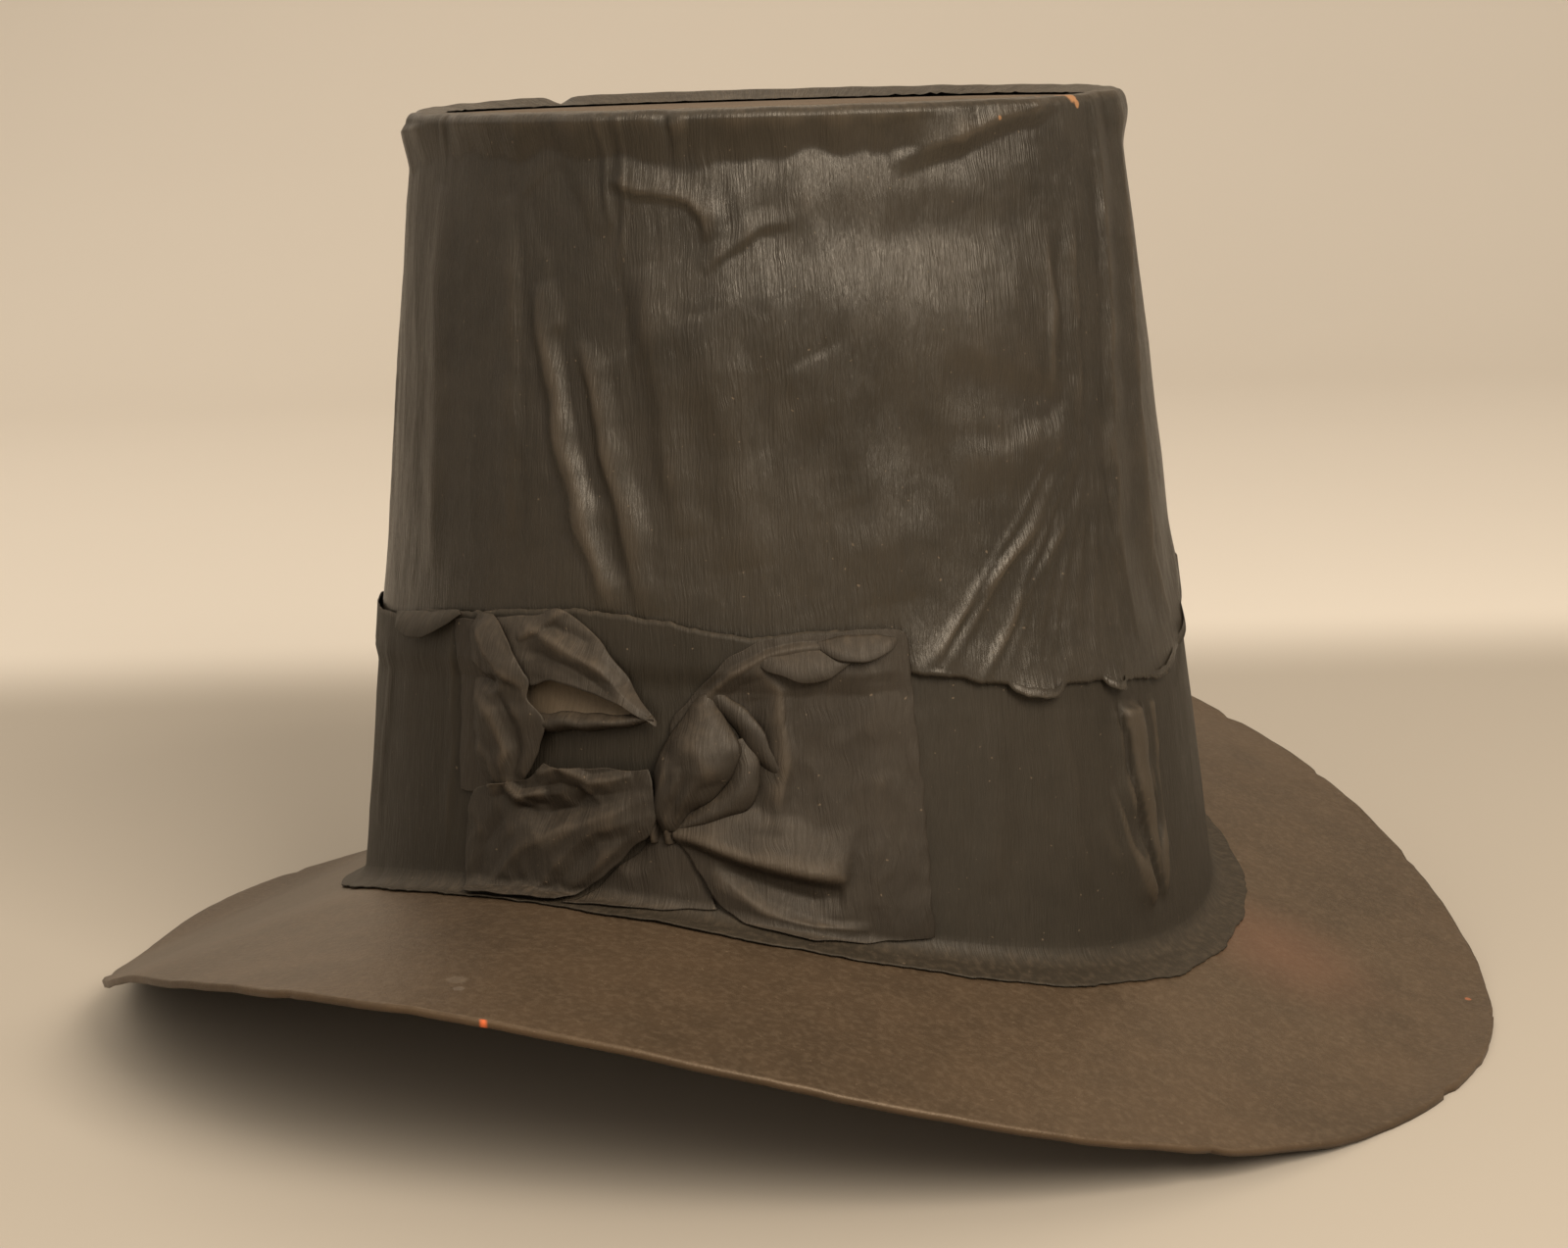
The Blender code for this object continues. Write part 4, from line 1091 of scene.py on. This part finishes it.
# %% Node group: aged paper
def aged_group():
    """Fade is high in pale patches, Dust where dust has settled, and Specks on small light marks."""
    takes = {"Place": "Vector"}
    gives = {"Fade": "Float", "Dust": "Float", "Specks": "Float"}
    tree, takes, gives = new_group("aged paper", takes, gives)
    place = takes["Place"]
    large, small = noise(tree, place, 0.045, 4.0, 0.55), noise(tree, place, 0.009, 3.0, 0.6)
    both = sums(tree, "MULTIPLY_ADD", small, 0.35, sums(tree, "MULTIPLY", large, 0.65))
    connect(tree, ramp(tree, both, 0.34, 0.66), gives["Fade"])
    facing = add_node(tree, "SeparateXYZ", {0: add_node(tree, "NewGeometry").outputs["Normal"]})
    upward = ramp(tree, facing.outputs["Z"], 0.05, 1.0)
    grains = ramp(tree, noise(tree, place, 0.0016, 2.0), 0.40, 0.75)
    settled = sums(tree, "MULTIPLY", upward, sums(tree, "MULTIPLY_ADD", grains, 0.6, 0.4))
    connect(tree, settled, gives["Dust"])
    dots = noise(tree, place, 0.0012, 1.0)
    connect(tree, ramp(tree, dots, 0.74, 0.80), gives["Specks"])
    return tree


AGED = aged_group()
print("node group:", AGED.name)


# %% [markdown]
# Spots of paint, scuffs and torn places where pale paste shows are all round with a ragged edge. One
# mask with a middle and a radius serves for all of them, so each spot is only a line in a list.

# %% Node group: a dot of paint
def dot_group():
    """Mask is 1 within Radius of Middle, with a ragged edge."""
    takes = {"Place": "Vector", "Middle": "Vector", "Radius": "Float"}
    tree, takes, gives = new_group("paint dot", takes, {"Mask": "Float"})
    off = add_node(tree, "VectorMath", {0: takes["Place"], 1: takes["Middle"]}, operation="DISTANCE")
    ragged = sums(tree, "MULTIPLY_ADD", noise(tree, takes["Place"], 0.0012, 2.0), 0.6, 0.7)
    share = sums(tree, "DIVIDE", off.outputs["Value"], sums(tree, "MULTIPLY", takes["Radius"], ragged))
    connect(tree, sums(tree, "SUBTRACT", 1.0, ramp(tree, share, 0.75, 1.1)), gives["Mask"])
    return tree


DOT = dot_group()
print("node group:", DOT.name)

# %% [markdown]
# Faded black crepe is a dark warm grey with a satin sheen. The sheen comes from a middling roughness
# broken up by the crinkle. The pale streaks along the crests are partly rubbing and partly painted
# highlight, and the dark lines in the hollows are painted shade. Cover, band and bow share one recipe,
# with their own values.

# %% Crepe paper
Crepe = namedtuple("Crepe", "dark pale roughness crinkle shine")
CREPES = {
    "cover": Crepe((0.014, 0.011, 0.007, 1), (0.027, 0.021, 0.014, 1), 0.31, 0.70, 0.46),
    "band": Crepe((0.015, 0.012, 0.008, 1), (0.024, 0.019, 0.013, 1), 0.52, 0.50, 0.28),
    "bow": Crepe((0.018, 0.014, 0.010, 1), (0.032, 0.025, 0.018, 1), 0.50, 0.60, 0.28),
    "mouth": Crepe((0.050, 0.036, 0.022, 1), (0.082, 0.059, 0.036, 1), 0.66, 0.30, 0.40),
}
# Pale dust, also mixed onto crepe crests as painted highlight, and painted shade for the hollows
DUST_AND_HIGHLIGHT, HOLLOW_SHADE = (0.24, 0.175, 0.115, 1), (0.018, 0.014, 0.010, 1)
# How strongly crests are lightened by rubbing and painted highlight, hollows darkened by painted
# shade, dust has settled and specks stick
CREST_RUB_AND_HIGHLIGHT, HOLLOW_SHADING, DUSTY, SPECKED = 0.10, 0.45, 0.16, 0.30
CREPE_TINT, CARD_TINT = (1.0, 0.93, 0.83, 1), (1.0, 0.80, 0.60, 1)
CRINKLE_DEEP, GRAIN_DEEP = 0.0005, 0.0003


def new_material(name):
    made = bpy.data.materials.new(name)
    made.use_nodes = True
    shader = made.node_tree.nodes["Principled BSDF"]
    shader.inputs["Metallic"].default_value = 0.0
    return made, made.node_tree, shader


# A torn spot at the rim where pale paste shows: its angle and height, its radius and its strength
Tear = namedtuple("Tear", "angle height radius strength")
COVER_TEARS = [
    Tear(-8.2, 161.8, 2.3, 0.8),
    Tear(-7.4, 159.4, 1.0, 0.7),
    Tear(-27.8, 157.4, 0.5, 0.5),
    Tear(-14.0, 163.2, 0.8, 0.5),
]
PASTE = (0.42, 0.20, 0.085, 1)


def crepe_material(name, look, tears=()):
    made, tree, shader = new_material("crepe paper, " + name)
    place = add_node(tree, "UVMap", uv_map="paper").outputs[0]
    crinkle = place_group(tree, CRINKLE, {"Place": place})
    aged = place_group(tree, AGED, {"Place": place})
    crest = add_node(tree, "Attribute", attribute_name="crest").outputs["Fac"]
    faded = sums(tree, "MULTIPLY", aged["Fade"], 0.75)
    share = sums(tree, "MULTIPLY_ADD", crinkle["Streaks"], 0.25, faded)
    colour = mixed(tree, share, look.dark, look.pale)
    # Crests are painted lighter, partly rubbing and partly painted highlight; hollows get painted shade
    rubbed_and_lit = sums(tree, "MULTIPLY", ramp(tree, crest, 0.55, 1.0), CREST_RUB_AND_HIGHLIGHT)
    colour = mixed(tree, rubbed_and_lit, colour, DUST_AND_HIGHLIGHT)
    hollow_shade = sums(tree, "MULTIPLY", ramp(tree, crest, 0.48, 0.10), HOLLOW_SHADING)
    colour = mixed(tree, hollow_shade, colour, HOLLOW_SHADE)
    colour = mixed(tree, sums(tree, "MULTIPLY", aged["Dust"], DUSTY), colour, DUST_AND_HIGHLIGHT)
    colour = mixed(tree, sums(tree, "MULTIPLY", aged["Specks"], SPECKED), colour, DUST_AND_HIGHLIGHT)
    for tear in tears:
        middle = (np.radians(tear.angle) * MEAN_RADIUS, tear.height * MM, 0.0)
        inputs = {"Place": place, "Middle": middle, "Radius": tear.radius * MM}
        mask = place_group(tree, DOT, inputs)["Mask"]
        colour = mixed(tree, sums(tree, "MULTIPLY", mask, tear.strength), colour, PASTE)
    connect(tree, colour, shader.inputs["Base Color"])
    broken = sums(tree, "MULTIPLY_ADD", crinkle["Streaks"], -0.10, look.roughness + 0.05)
    matte = sums(tree, "MULTIPLY_ADD", aged["Fade"], 0.10, broken)
    connect(tree, matte, shader.inputs["Roughness"])
    shader.inputs["Specular Tint"].default_value = CREPE_TINT
    shader.inputs["Specular IOR Level"].default_value = look.shine
    height = {"Height": crinkle["Height"], "Strength": look.crinkle, "Distance": CRINKLE_DEEP}
    connect(tree, add_node(tree, "Bump", height).outputs[0], shader.inputs["Normal"])
    return made


CREPE_MADE = {}
for name, look in CREPES.items():
    CREPE_MADE[name] = crepe_material(name, look, COVER_TEARS if name == "cover" else ())
cover.data.materials.append(CREPE_MADE["cover"])
for piece in (band, band_curl):
    piece.data.materials.append(CREPE_MADE["band"])
mouth.data.materials.append(CREPE_MADE["mouth"])
bow_left = [backing, lobe, strip, lip, left_tail, under_fold]
bow_right = [panel, second_lip, right_loop, flap, curl, small_curl, knot]
for piece in bow_left + bow_right:
    piece.data.materials.append(CREPE_MADE["bow"])
print("crepe papers:", ", ".join(CREPE_MADE))

# %% [markdown]
# The brim's card was painted brown-black and has faded unevenly, with a dusty bloom, a warmer stain
# behind the crown at the right, a white scuff and two small dots of orange paint. It is matte, but at
# a low angle even matte card shines, which the shader does by itself.

# %% Card
Mark = namedtuple("Mark", "x y radius colour strength")
BRIM_MARKS = [
    Mark(21, -163, 1.2, (0.62, 0.12, 0.035, 1), 0.95),
    Mark(157, 50, 1.4, (0.50, 0.12, 0.040, 1), 0.85),
    Mark(155, 36, 0.8, (0.45, 0.14, 0.060, 1), 0.6),
    Mark(5, -147, 2.2, (0.50, 0.42, 0.33, 1), 0.08),
    Mark(8, -151, 1.2, (0.58, 0.50, 0.42, 1), 0.09),
]
STAIN_PLACE, STAIN_REACH = (0.118, 0.012, 0.0), 0.030
STAIN, STAIN_STRENGTH = (0.20, 0.085, 0.050, 1), 0.30
BARE_CARD, BARE_STRENGTH = (0.24, 0.17, 0.115, 1), 0.25
CARD_SPECKED, CARD_GRAIN = 0.25, 0.35


def card_material(name, dark, pale, roughness, dust):
    """Matte card: its colour, dust and grain. Returns what the brim goes on to paint over."""
    made, tree, shader = new_material(name)
    place = add_node(tree, "TexCoord").outputs["Object"]
    aged = place_group(tree, AGED, {"Place": place})
    colour = mixed(tree, aged["Fade"], dark, pale)
    colour = mixed(tree, sums(tree, "MULTIPLY", aged["Dust"], dust), colour, DUST_AND_HIGHLIGHT)
    colour = mixed(tree, sums(tree, "MULTIPLY", aged["Specks"], CARD_SPECKED), colour, DUST_AND_HIGHLIGHT)
    grain = noise(tree, place, 0.0009, 3.0, 0.7)
    rough = sums(tree, "MULTIPLY_ADD", grain, 0.12, roughness - 0.06)
    connect(tree, rough, shader.inputs["Roughness"])
    shader.inputs["Specular Tint"].default_value = CARD_TINT
    height = {"Height": grain, "Strength": CARD_GRAIN, "Distance": GRAIN_DEEP}
    connect(tree, add_node(tree, "Bump", height).outputs[0], shader.inputs["Normal"])
    connect(tree, colour, shader.inputs["Base Color"])
    return made, tree, shader, place, colour


def brim_material():
    dark, pale = (0.035, 0.0215, 0.0115, 1), (0.059, 0.0365, 0.0200, 1)
    made, tree, shader, place, colour = card_material("painted brim card", dark, pale, 0.46, 0.20)
    flat = add_node(tree, "VectorMath", {0: place, 1: (1, 1, 0)}, operation="MULTIPLY").outputs[0]
    off = add_node(tree, "VectorMath", {0: flat, 1: STAIN_PLACE}, operation="DISTANCE")
    stain = ramp(tree, off.outputs["Value"], STAIN_REACH, 0.0)
    colour = mixed(tree, sums(tree, "MULTIPLY", stain, STAIN_STRENGTH), colour, STAIN)
    crest = add_node(tree, "Attribute", attribute_name="crest").outputs["Fac"]
    worn = sums(tree, "MULTIPLY", ramp(tree, crest, 0.60, 1.0), BARE_STRENGTH)
    colour = mixed(tree, worn, colour, BARE_CARD)
    for mark in BRIM_MARKS:
        middle = (mark.x * MM, mark.y * MM, 0.0)
        inputs = {"Place": flat, "Middle": middle, "Radius": mark.radius * MM}
        mask = place_group(tree, DOT, inputs)["Mask"]
        colour = mixed(tree, sums(tree, "MULTIPLY", mask, mark.strength), colour, mark.colour)
    connect(tree, colour, shader.inputs["Base Color"])
    return made


brim.data.materials.append(brim_material())
LID = card_material("faded top card", (0.080, 0.056, 0.038, 1), (0.125, 0.088, 0.060, 1), 0.75, 0.25)[0]
WALL = card_material("grey wall card", (0.12, 0.10, 0.075, 1), (0.18, 0.15, 0.115, 1), 0.80, 0.10)[0]
for node_name, card in (("crown_top", LID), ("crown_wall", WALL)):
    node_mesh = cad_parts[node_name].data
    node_mesh.materials.clear()
    node_mesh.materials.append(card)
print("card: brim, lid and wall")

# %% [markdown]
# The stage is a sheet of pale paper that lies on the table and curves up far behind the hat, as in a
# photographer's studio, so no hard horizon shows behind the hat and there is room to look at its
# back. The near part of the paper, up to a line across the view a little behind the hat, is painted
# darker as painted shade, with a soft edge.

# %% Stage
STAGE_WIDTH, STAGE_NEAR, BEND_STARTS, BEND_RADIUS, STAGE_HIGH = 8.0, -5.0, 1.2, 1.0, 3.5
BEND_POINTS = 24
# The near paper is painted darker as painted shade, up to a line this far behind the hat
NEAR_SHADE_ENDS, NEAR_SHADE_SOFTNESS, NEAR_SHADE_STRENGTH = 0.36, 0.06, 0.9
PAPER_WARM, PAPER_PALE, NEAR_SHADE = (0.80, 0.72, 0.62, 1), (0.84, 0.76, 0.655, 1), (0.43, 0.375, 0.305, 1)


def make_stage():
    turn = np.linspace(0, np.pi / 2, BEND_POINTS)
    wall = BEND_STARTS + BEND_RADIUS
    far = np.concatenate([[STAGE_NEAR], BEND_STARTS + BEND_RADIUS * np.sin(turn), [wall]])
    high = np.concatenate([[0], BEND_RADIUS * (1 - np.cos(turn)), [STAGE_HIGH]])
    half = STAGE_WIDTH / 2
    points = [(side, y, z) for y, z in zip(far, high) for side in (-half, half)]
    faces = [(2 * k, 2 * k + 1, 2 * k + 3, 2 * k + 2) for k in range(len(far) - 1)]
    mesh = bpy.data.meshes.new("studio_paper")
    mesh.from_pydata(points, [], faces)
    mesh.shade_smooth()
    made = bpy.data.objects.new("studio_paper", mesh)
    made.rotation_euler.z = CAMERA_YAW - np.pi / 2
    bpy.context.scene.collection.objects.link(made)
    return made


def stage_material():
    made, tree, shader = new_material("studio paper")
    place = add_node(tree, "TexCoord").outputs["Object"]
    colour = mixed(tree, noise(tree, place, 0.4, 3.0), PAPER_WARM, PAPER_PALE)
    away = add_node(tree, "SeparateXYZ", {0: place}).outputs["Y"]
    # Painted shade: the paper near the hat is darker, with a soft edge
    table = ramp(tree, away, NEAR_SHADE_ENDS + NEAR_SHADE_SOFTNESS, NEAR_SHADE_ENDS - NEAR_SHADE_SOFTNESS)
    colour = mixed(tree, sums(tree, "MULTIPLY", table, NEAR_SHADE_STRENGTH), colour, NEAR_SHADE)
    connect(tree, colour, shader.inputs["Base Color"])
    shader.inputs["Roughness"].default_value = 0.9
    return made


stage = make_stage()
stage.data.materials.append(stage_material())
print("stage made")

# %% [markdown]
# The light is soft and warm. A lamp high at the right of the camera puts the sheen on the crown's
# front, a wide one at its left lights the bow, the brim and the table, and a third, behind the hat at
# the left, lights the rim and the table there. A weak glow from all round keeps the shadows open.

# %% Lights
Lamp = namedtuple("Lamp", "name azimuth elevation distance size power colour")
LAMPS = [
    Lamp("key lamp", -33, 32, 1.4, 0.7, 23, (1.0, 0.90, 0.77)),
    Lamp("front lamp", -90, 40, 1.6, 1.8, 8, (1.0, 0.91, 0.79)),
    Lamp("back lamp", 165, 48, 1.4, 1.8, 5, (1.0, 0.91, 0.79)),
]
GLOW, GLOW_STRENGTH = (1.0, 0.90, 0.77, 1), 0.46
AIM = Vector((0, 0, CREST + LID_TOP / 2))


def add_lamp(lamp):
    made = bpy.data.objects.new(lamp.name, bpy.data.lights.new(lamp.name, "AREA"))
    made.data.size, made.data.energy, made.data.color = lamp.size, lamp.power, lamp.colour
    turn, rise = np.radians(lamp.azimuth), np.radians(lamp.elevation)
    away = Vector((np.cos(turn) * np.cos(rise), np.sin(turn) * np.cos(rise), np.sin(rise)))
    made.location = AIM + away * lamp.distance
    made.rotation_euler = away.to_track_quat("Z", "Y").to_euler()
    bpy.context.scene.collection.objects.link(made)


for lamp in LAMPS:
    add_lamp(lamp)
world = bpy.data.worlds.new("soft glow")
world.use_nodes = True
world.node_tree.nodes["Background"].inputs["Color"].default_value = GLOW
world.node_tree.nodes["Background"].inputs["Strength"].default_value = GLOW_STRENGTH
bpy.context.scene.world = world
bpy.context.scene.view_settings.view_transform = "Standard"
print(len(LAMPS), "lamps")
